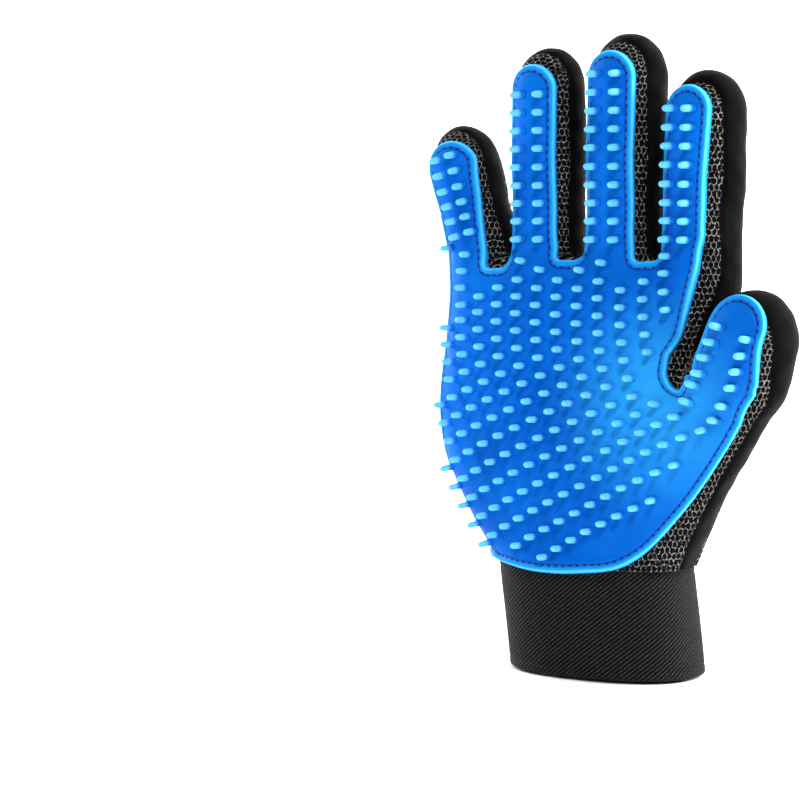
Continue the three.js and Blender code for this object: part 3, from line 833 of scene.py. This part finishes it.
def digit_nubs(name, place, rows):
    """Two columns of nubs along a digit's pad, and round its domed end."""
    digit = DIGITS[name]
    dome = place["length"] - (digit["wide"] if place is digit["place"] else 0)
    rise = np.arcsin(np.clip((rows - dome) / (digit["wide"] + PAD_THICK), 0, 1))
    start, direction, axis = [], [], []
    for column in NUB_COLUMNS[name]:
        angle = math.asin(column)
        lean = angle * NUB_SPREAD + NUB_TURN
        out, up = (
            unit(np.stack([0 * rows + math.sin(a), 0 * rows - math.cos(a), np.tan(rise)], 1))
            @ place["axes"].T
            for a in (angle, lean)
        )
        foot = np.zeros((len(rows), 3))
        foot[:, 2] = np.minimum(rows, dome)
        start.append(world(foot, place) + out * 2.4 * digit["wide"])
        direction.append(-out)
        axis.append(unit(up - (0, 0, NUB_DROOP)))
    start, direction, axis = (np.concatenate(parts) for parts in (start, direction, axis))
    hit, found = first_hit(start, direction, 45)
    return hit[found], axis[found], np.full(found.sum(), DIGIT_NUB_SIZE)


def all_nubs():
    """Places, directions and sizes of all nubs: palm nubs too near a digit's own nubs are left out."""
    groups = []
    for name, digit in DIGITS.items():
        first = np.arange(-digit.get("root_rows", 0), digit["rows"]) + 0.5
        tip = np.arange(digit["tip_rows"]) + 0.5
        rows = np.concatenate([first * digit["pitch"], digit["mid"] + tip * digit["pitch"]])
        groups.append(digit_nubs(name, digit["place"], rows))
    thumb = DIGITS["thumb"]
    rows = thumb["root_place"]["length"] - (np.arange(THUMB_ROOT_ROWS) + 0.5) * NUB_PITCH
    groups.append(digit_nubs("thumb", thumb["root_place"], rows))
    taken = np.concatenate([places for places, _, _ in groups])
    palm = palm_nubs()
    clear = np.linalg.norm(palm[0][:, None] - taken, axis=2).min(1) > NUB_CLEAR
    groups.append([part[clear] for part in palm])
    return [np.concatenate(parts) for parts in zip(*groups)]


def contour(mesh, name, level):
    """The lines along which the value called name is exactly level, as lists of vertex numbers."""
    on = mesh["at"][name] == level
    tri = mesh["tri"]
    edges = np.concatenate([tri[:, [0, 1]], tri[:, [1, 2]], tri[:, [2, 0]]])
    edges = np.unique(np.sort(edges[on[edges].all(1)], 1), axis=0)
    linked = {}
    for a, b in edges.tolist():
        linked.setdefault(a, []).append(b)
        linked.setdefault(b, []).append(a)
    lines, left = [], set(map(tuple, edges.tolist()))
    while left:
        a, b = min(left)
        line = [a, b]
        left.discard((a, b))
        while True:
            here = line[-1]
            ahead = [n for n in linked[here] if (min(here, n), max(here, n)) in left]
            if not ahead:
                break
            left.discard((min(here, ahead[0]), max(here, ahead[0])))
            line.append(ahead[0])
        lines.append(line)
    return [line for line in lines if len(line) > 20]


def stitch_solid():
    """One stitch along +X: a short thread that dives at both ends."""
    along = np.linspace(-0.5, 0.5, 7)
    turns = np.arange(6) * math.pi / 3
    co = []
    for s in along:
        thick = STITCH["radius"] * math.sqrt(max(1 - (2 * s) ** 4, 0.04))
        rise = STITCH["rise"] * (1 - (2 * s) ** 2)
        co += [(s * STITCH["length"], thick * math.cos(a) * 1.2, rise + thick * math.sin(a)) for a in turns]
    tri = []
    for i in range(len(along) - 1):
        for j in range(6):
            a, b = i * 6 + j, i * 6 + (j + 1) % 6
            tri += [(a, b, b + 6), (a, b + 6, a + 6)]
    last = (len(along) - 1) * 6
    for j in range(1, 5):
        tri += [(0, j + 1, j), (last, last + j, last + j + 1)]
    return smooth_solid(np.array(co), np.array(tri), dict(tip=np.zeros(len(co))))


def stitches_along(line, normal, pitch):
    """Stitches along a line of points, as (middle, solid)."""
    step = np.linalg.norm(np.diff(line, axis=0), axis=1)
    far = np.concatenate([[0], np.cumsum(step)])
    base = stitch_solid()
    out = []
    for i in range(int(far[-1] / pitch)):
        s = (i + 0.5) * pitch
        ends = [np.array([np.interp(s + d, far, line[:, k]) for k in range(3)]) for d in (-1, 1)]
        here = np.array([np.interp(s, far, line[:, k]) for k in range(3)])
        up = np.array([np.interp(s, far, normal[:, k]) for k in range(3)])
        along = (ends[1] - ends[0]) / max(np.linalg.norm(ends[1] - ends[0]), 1e-6)
        side = np.cross(up, along)
        side /= np.linalg.norm(side)
        turn = np.stack([along, side, np.cross(along, side)], 1)
        shape = dict(base)
        shape["co"] = base["co"] @ turn.T + here
        shape["normal"] = base["normal"] @ turn.T
        out.append((here, shape))
    return out


PALM_OUTLINE = palm_outline()


def add_pads(surface, materials):
    centre = surface["co"][surface["tri"]].mean(1)
    mesh = keep(surface, (centre[:, 1] < PAD_BACK) & (centre[:, 2] > PAD_BOTTOM))
    normal = unit(gradient(glove_distance, mesh["co"]))
    mesh["at"]["depth"] = pad_depth(mesh["co"], normal)
    mesh = keep(mesh, mesh["at"]["depth"][mesh["tri"]].max(1) > -3)
    for level, _ in PAD_PROFILE:
        split_at(mesh, "depth", level)
    mesh = keep(mesh, middle(mesh, "depth") > 0)
    plain = unit(gradient(glove_distance, mesh["co"]))
    depth = mesh["at"]["depth"]
    lift = PAD_LIFT * (1 - smooth_step(42, 48, mesh["co"][:, 2]))
    top = mesh["co"] + plain * (lift + pad_height(depth))[:, None]
    under = mesh["co"] + plain * (lift + PAD_UNDER)[:, None]
    normal = vertex_normals(top, mesh["tri"])
    mesh["at"]["tip"] = np.zeros(len(depth))

    lathe = nub_solid()
    nubs = []
    for place, axis, size in zip(*all_nubs()):
        out = unit(gradient(glove_distance, place[None]))[0]
        nubs.append((place, turned(lathe, place + out * (PAD_THICK - NUB_SUNK), axis, size)))
    threads = []
    for line in contour(mesh, "depth", STITCH["depth"]):
        threads += stitches_along(top[line], plain[line], STITCH["pitch"])

    number = stretch_of({name: middle(mesh, "along_" + name) for name in DIGITS})
    owners = [
        stretch_of({name: digit_along(np.array([place for place, _ in group]), name) for name in DIGITS})
        for group in (nubs, threads)
    ]
    for i, stretch in enumerate(stretches()):
        name = stretch[0]
        node = "palm_pad" if name == "hand" else name + "_pad"
        mine = [shape for (_, shape), owner in zip(nubs, owners[0]) if owner == i]
        solid = joined([shell(mesh, number == i, top, under, normal)] + mine)
        piece = add_object(node + "_rubber", solid, materials["rubber_pad"], ["depth", "tip"])
        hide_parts(node)
        place_piece(piece, stretch)
        mine = [shape for (_, shape), owner in zip(threads, owners[1]) if owner == i]
        if mine:
            piece = add_object(node + "_stitches", joined(mine), materials["pad_thread"])
            place_piece(piece, stretch)


# ---- Cuff and its closure -------------------------------------------------------------------------
def cuff_outline(steps=2400):
    """The cuff's oval at its own middle, as points, outward normals and arc lengths from its +X end."""
    angle = np.linspace(0, 2 * math.pi, steps + 1)
    c, s = np.cos(angle), np.sin(angle)
    x = np.sign(c) * np.abs(c) ** (2 / SQUARENESS) * CUFF_HALF[0]
    y = np.sign(s) * np.abs(s) ** (2 / SQUARENESS) * CUFF_HALF[1]
    arc = np.concatenate([[0], np.cumsum(np.hypot(np.diff(x), np.diff(y)))])
    even = np.linspace(0, arc[-1], steps + 1)
    x, y = np.interp(even, arc, x), np.interp(even, arc, y)
    dx, dy = np.gradient(x), np.gradient(y)
    for run in (dx, dy):
        run[0] = run[-1] = (run[1] + run[-2]) / 2
    size = np.hypot(dx, dy)
    return dict(arc=even, x=x, y=y, nx=dy / size, ny=-dx / size, length=even[-1])


CUFF_OVAL = cuff_outline()


def on_cuff(arc, z, out):
    """Points at an arc length round the cuff, a height, and a distance out from its face."""
    arc = np.mod(arc, CUFF_OVAL["length"])
    x, y, nx, ny = (np.interp(arc, CUFF_OVAL["arc"], CUFF_OVAL[k]) for k in ("x", "y", "nx", "ny"))
    return np.stack([x + nx * out + CUFF_LEAN * z / CUFF_HEIGHT, y + ny * out, z + 0 * x], -1)


def grid_triangles(rows, columns, closed):
    """Triangles of a grid of points, its columns closed into a ring or left open."""
    i, j = np.meshgrid(np.arange(rows - 1), np.arange(columns if closed else columns - 1), indexing="ij")
    a = i * columns + j
    b = i * columns + (j + 1) % columns
    c, d = a + columns, b + columns
    return np.concatenate([np.stack([a, b, d], -1).reshape(-1, 3), np.stack([a, d, c], -1).reshape(-1, 3)])


def rib_height(arc, z):
    """Fine ribs of the cuff's twill, which rise to the right as seen from the palm."""
    per_turn = round(CUFF_OVAL["length"] * math.sin(RIB["angle"]) / RIB["pitch"])
    across = per_turn * arc / CUFF_OVAL["length"] - z * math.cos(RIB["angle"]) / RIB["pitch"]
    return RIB["height"] * np.sin(2 * math.pi * across)


def cuff_solid():
    columns = int(CUFF_OVAL["length"] / RIB["step"])
    arc = np.arange(columns) / columns * CUFF_OVAL["length"]
    rounding = 1.0
    turn = np.linspace(0, math.pi / 2, 5)[:-1]
    up = np.linspace(rounding, CUFF_HEIGHT - rounding, int(CUFF_HEIGHT / RIB["step"]))
    outer = [(rounding * (1 - math.cos(a)), rounding * (math.sin(a) - 1), 0) for a in turn]
    outer += [(z, 0, 1) for z in up]
    outer += [(CUFF_HEIGHT - z, out, 0) for z, out, _ in outer[3::-1]]
    inner = [(z, -CUFF_THICK, 0) for z in np.linspace(CUFF_HEIGHT - 0.4, 0.4, 24)]
    rings = []
    for z, out, ribbed in outer + inner:
        fade = smooth_step(0, 1.5, z - 1) * smooth_step(0, 1.5, CUFF_HEIGHT - 1 - z) * ribbed
        hem = -sum(0.25 * math.exp(-(((end - HEM_HEIGHT) / 0.5) ** 2)) for end in (z, CUFF_HEIGHT - z))
        wave = CUFF_WAVE * np.sin(arc * 2 * math.pi * 3 / CUFF_OVAL["length"] + 0.6)
        wave *= smooth_step(0, 30, CUFF_HEIGHT - z)
        level = np.full(columns, z)
        rings.append(on_cuff(arc, level, out + hem * ribbed + wave + fade * rib_height(arc, level)))
    co = np.concatenate(rings)
    count = len(rings)
    tri = grid_triangles(count, columns, True)
    last = np.arange(columns) + (count - 1) * columns
    first = np.arange(columns)
    close = np.concatenate([
        np.stack([last, np.roll(last, -1), np.roll(first, -1)], 1),
        np.stack([last, np.roll(first, -1), first], 1),
    ])
    weave = [np.stack([arc, np.full(columns, z), np.zeros(columns)], 1) for z, _, _ in outer + inner]
    return smooth_solid(co, np.concatenate([tri, close]), dict(weave=np.concatenate(weave)))


def arc_at(x, z):
    """The arc length on the back of the cuff above a place across it."""
    half = CUFF_OVAL["arc"] < CUFF_OVAL["length"] / 2
    across = CUFF_OVAL["x"][half][::-1] + CUFF_LEAN * z / CUFF_HEIGHT
    return np.interp(x, across, CUFF_OVAL["arc"][half][::-1])


def band_steps(length, step):
    """Distances along a band: close together at its rounded ends, and even between them."""
    inner = np.linspace(BAND_INSET, length - BAND_INSET, int(length / step))
    return np.concatenate([BAND_EDGE, inner, length - BAND_EDGE[::-1]])


def band_solid(x0, x1, inner, outer, low, high, corner, relief=None):
    """A flat band on the back of the cuff between x0 and x1, its corners at x0 rounded."""
    middle_z = (low + high) / 2
    start, end = arc_at(x1, middle_z), arc_at(x0, middle_z)
    length, wide = end - start, (high - low) / 2
    edge = 0.6
    u, v = np.meshgrid(band_steps(length, 0.5), band_steps(2 * wide, 0.56), indexing="ij")
    past = np.clip(corner - (length - u), 0, corner)
    narrow = corner - np.sqrt(np.maximum(corner**2 - past**2, 0))
    scale = (wide - narrow) / wide
    z = middle_z + (v - wide) * scale
    rim = np.minimum(np.minimum(u, length - u), np.minimum(v, 2 * wide - v) * scale)
    round_off = np.sqrt(np.clip(1 - (1 - np.clip(rim / edge, 0, 1)) ** 2, 0, 1))
    middle_out = (inner + outer) / 2
    bump = 0 if relief is None else relief(u, z) * (rim > 1)
    top = on_cuff(start + u, z, middle_out + (outer - middle_out) * round_off + bump)
    under = on_cuff(start + u, z, middle_out - (middle_out - inner) * round_off)
    rows, columns = u.shape
    tri = grid_triangles(rows, columns, False)
    used = dict(co=top.reshape(-1, 3), tri=tri, at=dict(weave=np.stack([u, z, 0 * u], -1).reshape(-1, 3)))
    normal = vertex_normals(used["co"], tri)
    if (normal[:, 1].mean()) < 0:
        used["tri"] = tri[:, ::-1]
        normal = -normal
    return shell(used, np.ones(len(tri), bool), used["co"], under.reshape(-1, 3), normal)


def band_stitches(x0, x1, out, low, high):
    """A rectangle of stitches on a band: the points and their outward directions."""
    middle_z = (low + high) / 2
    start, end = arc_at(x1, middle_z), arc_at(x0, middle_z)
    corners = [(start, low), (end, low), (end, high), (start, high), (start, low)]
    arc, z = [], []
    for (a0, z0), (a1, z1) in zip(corners, corners[1:]):
        steps = max(int(math.hypot(a1 - a0, z1 - z0) / 0.5), 2)
        arc += list(np.linspace(a0, a1, steps, endpoint=False))
        z += list(np.linspace(z0, z1, steps, endpoint=False))
    arc, z = np.array(arc + arc[:1]), np.array(z + z[:1])
    line = on_cuff(arc, z, out)
    normal = unit(on_cuff(arc, z, out + 1) - line)
    return [shape for _, shape in stitches_along(line, normal, STITCH["pitch"])]


def strap_ribs(u, z):
    """Woven ribs along the strap, with plain selvedges."""
    return 0.09 * np.sin(2 * math.pi * z / 1.1) * (np.abs(z - (STRAP["low"] + STRAP["high"]) / 2) < 9.3)


def place_cuff_piece(piece, body):
    """Lets a piece ride on its body, and bakes a piece without one where it stands."""
    if body is None:
        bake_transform(piece)
    else:
        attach(piece, body)


def add_cuff(materials):
    weave = ["weave"]
    cuff = add_object("cuff_band_twill", cuff_solid(), materials["cuff_twill"], weave)
    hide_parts("cuff_band")
    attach(cuff, "hand")
    low, high, gap, tape = STRAP["low"], STRAP["high"], STRAP["gap"], STRAP["tape"]
    hook = 2 * gap + tape
    foot = hook + tape + gap
    loop = band_solid(STRAP["patch_x"], STRAP["patch_end"], gap, gap + tape, low, high, 2)
    hooks = band_solid(STRAP["free_x"] + 2, STRAP["hook_end"], hook, hook + tape, low, high, 2)
    top = foot + STRAP["thick"]
    strap = band_solid(STRAP["free_x"], STRAP["sewn_x"], foot, top, low, high, 6, strap_ribs)
    anchor = band_solid(STRAP["anchor_x"], STRAP["sewn_x"] - gap, gap, foot - gap, low, high, 0.5)
    sewn = band_stitches(STRAP["anchor_x"] + 1.5, STRAP["sewn_x"] - 1.5, top, low + 2, high - 2)
    hem = band_stitches(STRAP["free_x"] + 4, STRAP["hook_end"] - 2, top, low + 2, high - 2)
    edge = band_stitches(STRAP["patch_x"] + 1.2, STRAP["patch_end"] - 1.2, gap + tape, low + 1.2, high - 1.2)
    for name, solid, slot, node, body in (
        ("loop_patch_pile", loop, "loop_tape", "loop_patch", "hand"),
        ("hook_tape_hooks", hooks, "hook_tape", "hook_tape", "strap"),
        ("closure_strap_webbing", strap, "strap_webbing", "closure_strap", None),
        ("strap_anchor_webbing", anchor, "strap_webbing", "strap_anchor", "hand"),
    ):
        piece = add_object(name, solid, materials[slot], weave)
        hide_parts(node)
        place_cuff_piece(piece, body)
    for name, stitches, body in (
        ("strap_stitches", sewn + hem, None),
        ("loop_patch_stitches", edge, "hand"),
    ):
        piece = add_object(name, joined(stitches), materials["dark_thread"])
        place_cuff_piece(piece, body)


# ---- Materials ------------------------------------------------------------------------------------
class Look:
    """A material's node tree, with short calls for its common nodes."""

    def __init__(self, name, **values):
        self.material = bpy.data.materials.new(name)
        self.material.use_nodes = True
        self.tree = self.material.node_tree
        self.shader = self.tree.nodes["Principled BSDF"]
        for key, value in values.items():
            self.shader.inputs[key.replace("_", " ")].default_value = value

    def node(self, kind, inputs=(), **settings):
        node = self.tree.nodes.new("ShaderNode" + kind)
        for key, value in settings.items():
            setattr(node, key, value)
        for key, value in dict(inputs).items():
            self.feed(node.inputs[key], value)
        return node

    def feed(self, socket, value):
        if isinstance(value, bpy.types.NodeSocket):
            self.tree.links.new(value, socket)
        else:
            socket.default_value = value

    def math(self, operation, *values):
        return self.node("Math", enumerate(values), operation=operation).outputs[0]

    def vector(self, operation, *values):
        node = self.node("VectorMath", enumerate(values), operation=operation)
        return node.outputs["Value" if operation in ("DOT_PRODUCT", "DISTANCE") else "Vector"]

    def attribute(self, name, output="Fac"):
        return self.node("Attribute", attribute_name=name).outputs[output]

    def noise(self, scale, detail=3.0, place=None, output="Fac"):
        place = place or self.node("TexCoord").outputs["Object"]
        return self.node("TexNoise", dict(Vector=place, Scale=scale, Detail=detail)).outputs[output]

    def smooth(self, value, low, high):
        inputs = {"Value": value, "From Min": low, "From Max": high}
        return self.node("MapRange", inputs, interpolation_type="SMOOTHSTEP").outputs["Result"]

    def blend(self, share, a, b):
        node = self.node("Mix", data_type="RGBA")
        for socket, value in zip((node.inputs[0], node.inputs[6], node.inputs[7]), (share, a, b)):
            self.feed(socket, (*value, 1) if isinstance(value, tuple) else value)
        return node.outputs[2]

    def bump(self, height, distance, under=None):
        inputs = dict(Height=height, Distance=distance * MM)
        if under is not None:
            inputs["Normal"] = under
        return self.node("Bump", inputs).outputs["Normal"]

    def finish(self, **sockets):
        for key, value in sockets.items():
            self.feed(self.shader.inputs[key.replace("_", " ")], value)
        return self.material


def hex_edge(look, place, cell):
    """Distance from the nearest edge of a honeycomb, 0 on an edge and 0.5 at a cell's middle."""
    tall = math.sqrt(3)
    scaled = look.vector("MULTIPLY", place, (1 / cell, 1 / cell, 0))
    reach = []
    for shift in (0.0, 0.5):
        moved = look.vector("ADD", scaled, (shift, shift * tall, 0))
        wrapped = look.vector("WRAP", moved, (0.5, tall / 2, 1), (-0.5, -tall / 2, -1))
        inside = look.vector("ABSOLUTE", wrapped)
        slanted = look.vector("DOT_PRODUCT", inside, (0.5, tall / 2, 0))
        upright = look.vector("DOT_PRODUCT", inside, (1, 0, 0))
        reach.append(look.math("MAXIMUM", slanted, upright))
    return look.math("SUBTRACT", 0.5, look.math("MINIMUM", *reach))


def net_fabric():
    """Open honeycomb net: dark round holes between light twisted threads."""
    look = Look("net_fabric", Roughness=0.85, Specular_IOR_Level=0.04)
    flat = look.attribute("weave", "Vector")
    wobble = look.vector("SUBTRACT", look.noise(0.5, 1.5, flat, "Color"), (0.5, 0.5, 0.5))
    place = look.vector("ADD", flat, look.vector("MULTIPLY", wobble, (1.6, 1.6, 0)))
    edge = hex_edge(look, place, NET_CELL)
    thread = look.math("SUBTRACT", 1.0, look.smooth(edge, 0.04, 0.13))
    wear = look.smooth(look.noise(1.1, 2.0, flat), 0.4, 0.6)
    ply = look.smooth(look.noise(7.0, 1.0, flat), 0.3, 0.7)
    worn = look.math("MULTIPLY", wear, look.math("MULTIPLY_ADD", ply, 0.6, 0.4))
    light = look.math("MULTIPLY", thread, worn)
    colour = look.blend(light, (0.002, 0.002, 0.002), (0.58, 0.55, 0.51))
    strand = look.math("MULTIPLY_ADD", ply, 0.25, thread)
    return look.finish(Base_Color=colour, Normal=look.bump(strand, 0.45))


def stretch_fabric():
    """Smooth black stretch knit with a soft grey bloom at its turned edges."""
    look = Look("stretch_fabric", Specular_IOR_Level=0.025)
    flat = look.attribute("weave", "Vector")
    wale = look.math("SINE", look.vector("DOT_PRODUCT", flat, (9.5, 0, 0)))
    course = look.math("SINE", look.vector("DOT_PRODUCT", flat, (3.2, 8.0, 0)))
    knit = look.math("MULTIPLY", wale, course)
    cloud = look.noise(60.0, 4.0)
    colour = look.blend(look.smooth(cloud, 0.35, 0.7), (0.001, 0.001, 0.0012), (0.004, 0.004, 0.0045))
    rough = look.math("MULTIPLY_ADD", cloud, 0.2, 0.45)
    soft = look.bump(look.noise(220.0, 2.0), 0.25)
    return look.finish(Base_Color=colour, Roughness=rough, Normal=look.bump(knit, 0.05, soft))


def rubber():
    """Moulded blue rubber: a brighter rolled rim with a painted highlight along its crest, a deep field with
    a painted highlight near the thumb's crotch, painted shade in the stitched groove, and pale nub tips,
    partly the thinner rubber's own tone and partly a painted highlight.
    """
    look = Look("moulded_rubber", Specular_IOR_Level=0.02)
    depth, tip = look.attribute("depth"), look.attribute("tip")
    cloud = look.noise(28.0, 3.0)
    field = look.blend(look.smooth(cloud, 0.3, 0.7), (0.0012, 0.10, 0.50), (0.002, 0.15, 0.64))
    # Painted highlight: the field is lightened towards a point near the thumb's crotch.
    place = look.node("TexCoord").outputs["Object"]
    near = look.smooth(look.vector("DISTANCE", place, PAINTED_HIGHLIGHT_PATCH["centre"]), PAINTED_HIGHLIGHT_PATCH["reach"], 0.0)
    field = look.blend(look.math("MULTIPLY", near, PAINTED_HIGHLIGHT_PATCH["share"]), field, (0.03, 0.42, 0.88))
    # Painted highlight: the rolled rim's crest is painted lighter than the rest of the rim.
    crest_highlight = look.math("MULTIPLY", look.smooth(depth, 0.3, 0.9), look.smooth(depth, 1.9, 1.1))
    roll = look.blend(crest_highlight, (0.006, 0.28, 0.80), (0.08, 0.56, 0.94))
    rim = look.blend(look.smooth(depth, 2.1, 3.1), roll, field)
    # Painted shade: the stitched groove, a recess in the pad, is painted darker.
    groove_in, groove_out = look.smooth(depth, 2.6, 2.85), look.smooth(depth, 3.5, 3.2)
    dark = look.math("MULTIPLY", groove_in, groove_out)
    groove_shaded = look.blend(dark, rim, (0.001, 0.035, 0.26))
    # Nub tips are painted paler: partly the thinner rubber's own tone, partly a painted highlight.
    colour = look.blend(look.smooth(tip, 0.02, 0.55), groove_shaded, (0.14, 0.60, 0.93))
    grain = look.noise(1400.0, 2.0)
    rough = look.math("MULTIPLY_ADD", look.noise(180.0, 2.0), 0.16, 0.36)
    uneven = look.bump(look.noise(90.0, 2.0), 0.2)
    return look.finish(Base_Color=colour, Roughness=rough, Normal=look.bump(grain, 0.02, uneven))


def twill():
    """Black twill whose fine diagonal ribs are lighter in flecks along their crests: partly the grey of its
    threads, partly a painted glint.
    """
    look = Look("cuff_twill", Sheen_Weight=0.01, Sheen_Roughness=0.4, Roughness=0.6, Specular_IOR_Level=0.06)
    flat = look.attribute("weave", "Vector")
    per_turn = round(CUFF_OVAL["length"] * math.sin(RIB["angle"]) / RIB["pitch"])
    turns = 2 * math.pi * per_turn / CUFF_OVAL["length"]
    run = (turns, -2 * math.pi * math.cos(RIB["angle"]) / RIB["pitch"], 0)
    # The lighter threads sit on the crests of the cuff's ribbed surface, and a painted glint goes with them.
    ridge = look.smooth(look.math("SINE", look.vector("DOT_PRODUCT", flat, run)), 0.45, 1.0)
    along = (math.cos(RIB["angle"]) * 0.5, math.sin(RIB["angle"]) * 0.5, 0)
    across = (-math.sin(RIB["angle"]) * 3.0, math.cos(RIB["angle"]) * 3.0, 0)
    streak = look.node("CombineXYZ", {
        0: look.vector("DOT_PRODUCT", flat, along), 1: look.vector("DOT_PRODUCT", flat, across), 2: 0.0,
    }).outputs[0]
    fleck = look.smooth(look.noise(2.2, 2.0, streak), 0.42, 0.68)
    light = look.math("MULTIPLY", ridge, look.math("MULTIPLY_ADD", fleck, 0.8, 0.2))
    colour = look.blend(light, (0.0015, 0.0015, 0.0017), (0.085, 0.085, 0.089))
    return look.finish(Base_Color=colour, Normal=look.bump(look.noise(5.0, 2.0, flat), 0.12))


def webbing():
    """Black woven webbing with a fine cross rib."""
    look = Look("strap_webbing", Sheen_Weight=0.03, Roughness=0.65, Specular_IOR_Level=0.2)
    flat = look.attribute("weave", "Vector")
    rib = look.math("SINE", look.vector("DOT_PRODUCT", flat, (0, 2 * math.pi / 1.1, 0)))
    pick = look.math("SINE", look.vector("DOT_PRODUCT", flat, (2 * math.pi / 0.8, math.pi / 1.1, 0)))
    weave = look.math("MULTIPLY", rib, pick)
    worn = look.smooth(look.noise(1.5, 2.0, flat), 0.3, 0.7)
    light = look.math("MULTIPLY", look.smooth(weave, 0.0, 0.9), worn)
    colour = look.blend(light, (0.004, 0.004, 0.0045), (0.06, 0.06, 0.064))
    return look.finish(Base_Color=colour, Normal=look.bump(weave, 0.18))


def tape(name, pitch, depth, light):
    """Hook tape or loop tape: rows of small hooks, or a fuzzy pile."""
    look = Look(name, Sheen_Weight=0.5 if depth < 0.3 else 0.2, Roughness=0.8)
    flat = look.attribute("weave", "Vector")
    rows = [
        look.math("SINE", look.vector("DOT_PRODUCT", flat, run))
        for run in ((2 * math.pi / pitch, 0, 0), (0, 2 * math.pi / pitch, 0))
    ]
    dots = look.smooth(look.math("MULTIPLY", *rows), -0.2, 0.8)
    fuzz = look.noise(6.0, 4.0, flat)
    mixed = look.math("MULTIPLY", dots, look.smooth(fuzz, 0.3, 0.7))
    colour = look.blend(mixed, (0.006, 0.006, 0.006), light)
    return look.finish(Base_Color=colour, Normal=look.bump(look.math("ADD", dots, fuzz), depth))


def thread(name, dark, light):
    """Twisted sewing thread."""
    look = Look(name, Sheen_Weight=0.3, Roughness=0.5)
    twist = look.noise(900.0, 2.0)
    return look.finish(Base_Color=look.blend(twist, dark, light), Normal=look.bump(twist, 0.08))


def all_materials():
    return dict(
        mesh_fabric=net_fabric(),
        stretch_gusset=stretch_fabric(),
        rubber_pad=rubber(),
        cuff_twill=twill(),
        strap_webbing=webbing(),
        hook_tape=tape("hook_tape", 1.6, 0.4, (0.03, 0.03, 0.03)),
        loop_tape=tape("loop_tape", 0.9, 0.25, (0.05, 0.05, 0.052)),
        pad_thread=thread("pad_thread", (0.001, 0.04, 0.26), (0.003, 0.12, 0.55)),
        dark_thread=thread("dark_thread", (0.01, 0.01, 0.01), (0.06, 0.06, 0.065)),
    )


# ---- Studio ---------------------------------------------------------------------------------------
def look_at(thing, target):
    thing.rotation_euler = (Vector(target) - thing.location).to_track_quat("-Z", "Y").to_euler()


def add_camera():
    """The palm side, seen a little from the thumb's side and a little from above."""
    azimuth, elevation = map(math.radians, CAMERA["angle"])
    level = math.cos(elevation)
    back = Vector((math.sin(azimuth) * level, -math.cos(azimuth) * level, math.sin(elevation)))
    data = bpy.data.cameras.new("camera")
    data.lens, data.sensor_width = CAMERA["lens"], 36
    data.clip_start, data.clip_end = 0.01, 20
    camera = bpy.data.objects.new("camera", data)
    aim = Vector(CAMERA["aim"]) * MM
    camera.location = aim + back * CAMERA["distance"] * MM
    look_at(camera, aim)
    bpy.context.scene.collection.objects.link(camera)
    bpy.context.scene.camera = camera


def add_light(name, place, target, size, power):
    data = bpy.data.lights.new(name, "AREA")
    data.shape, data.size, data.energy = "DISK", size, power
    lamp = bpy.data.objects.new(name, data)
    lamp.location = place
    look_at(lamp, target)
    bpy.context.scene.collection.objects.link(lamp)


def add_stage():
    """A pale floor that sweeps up into a pale backdrop behind the glove."""
    half, front, back, round_off, top = 3.0, -3.0, 1.4, 0.8, 3.0
    profile = [(front, 0), (back - round_off, 0)]
    for i in range(1, 13):
        angle = i / 12 * math.pi / 2
        profile.append((back - round_off + round_off * math.sin(angle), round_off * (1 - math.cos(angle))))
    profile.append((back, top))
    heading = math.radians(CAMERA["angle"][0])
    right = Vector((math.cos(heading), math.sin(heading), 0))
    away = Vector((-math.sin(heading), math.cos(heading), 0))
    points = [away * y + Vector((0, 0, z - 0.001)) + right * x for x in (-half, half) for y, z in profile]
    count = len(profile)
    faces = [(i, i + count, i + count + 1, i + 1) for i in range(count - 1)]
    data = bpy.data.meshes.new("backdrop")
    data.from_pydata(points, [], faces)
    data.polygons.foreach_set("use_smooth", np.ones(len(faces), bool))
    look = Look("backdrop", Roughness=0.9, Specular_IOR_Level=0.1)
    cloud = look.noise(1.5, 2.0)
    data.materials.append(look.finish(Base_Color=look.blend(cloud, (0.9, 0.9, 0.9), (0.92, 0.92, 0.92))))
    stage = bpy.data.objects.new("backdrop", data)
    bpy.context.scene.collection.objects.link(stage)


def add_studio():
    world = bpy.data.worlds.new("studio")
    world.use_nodes = True
    background = world.node_tree.nodes["Background"]
    background.inputs["Color"].default_value = (1, 1, 1, 1)
    background.inputs["Strength"].default_value = WORLD_STRENGTH
    bpy.context.scene.world = world
    bpy.context.scene.view_settings.view_transform = "Standard"
    for light in LIGHTS:
        add_light(*light)
    add_stage()


# ---- The glove ------------------------------------------------------------------------------------
def main():
    add_camera()
    add_studio()
    materials = all_materials()
    surface = surface_mesh()
    co = surface["co"]
    surface["at"] = {"seam": seam_place(co)}
    for name in DIGITS:
        surface["at"]["along_" + name] = digit_along(co, name)
    for _, digit, low, high in stretches():
        for level in (low, high):
            if digit and abs(level) < FAR:
                split_at(surface, "along_" + digit, level)
    surface["at"]["height"] = surface["co"][:, 2].copy()
    split_at(surface, "height", HAND_BOTTOM)
    add_fabric(keep(surface, middle(surface, "height") > HAND_BOTTOM), materials)
    add_pads(surface, materials)
    add_cuff(materials)


main()
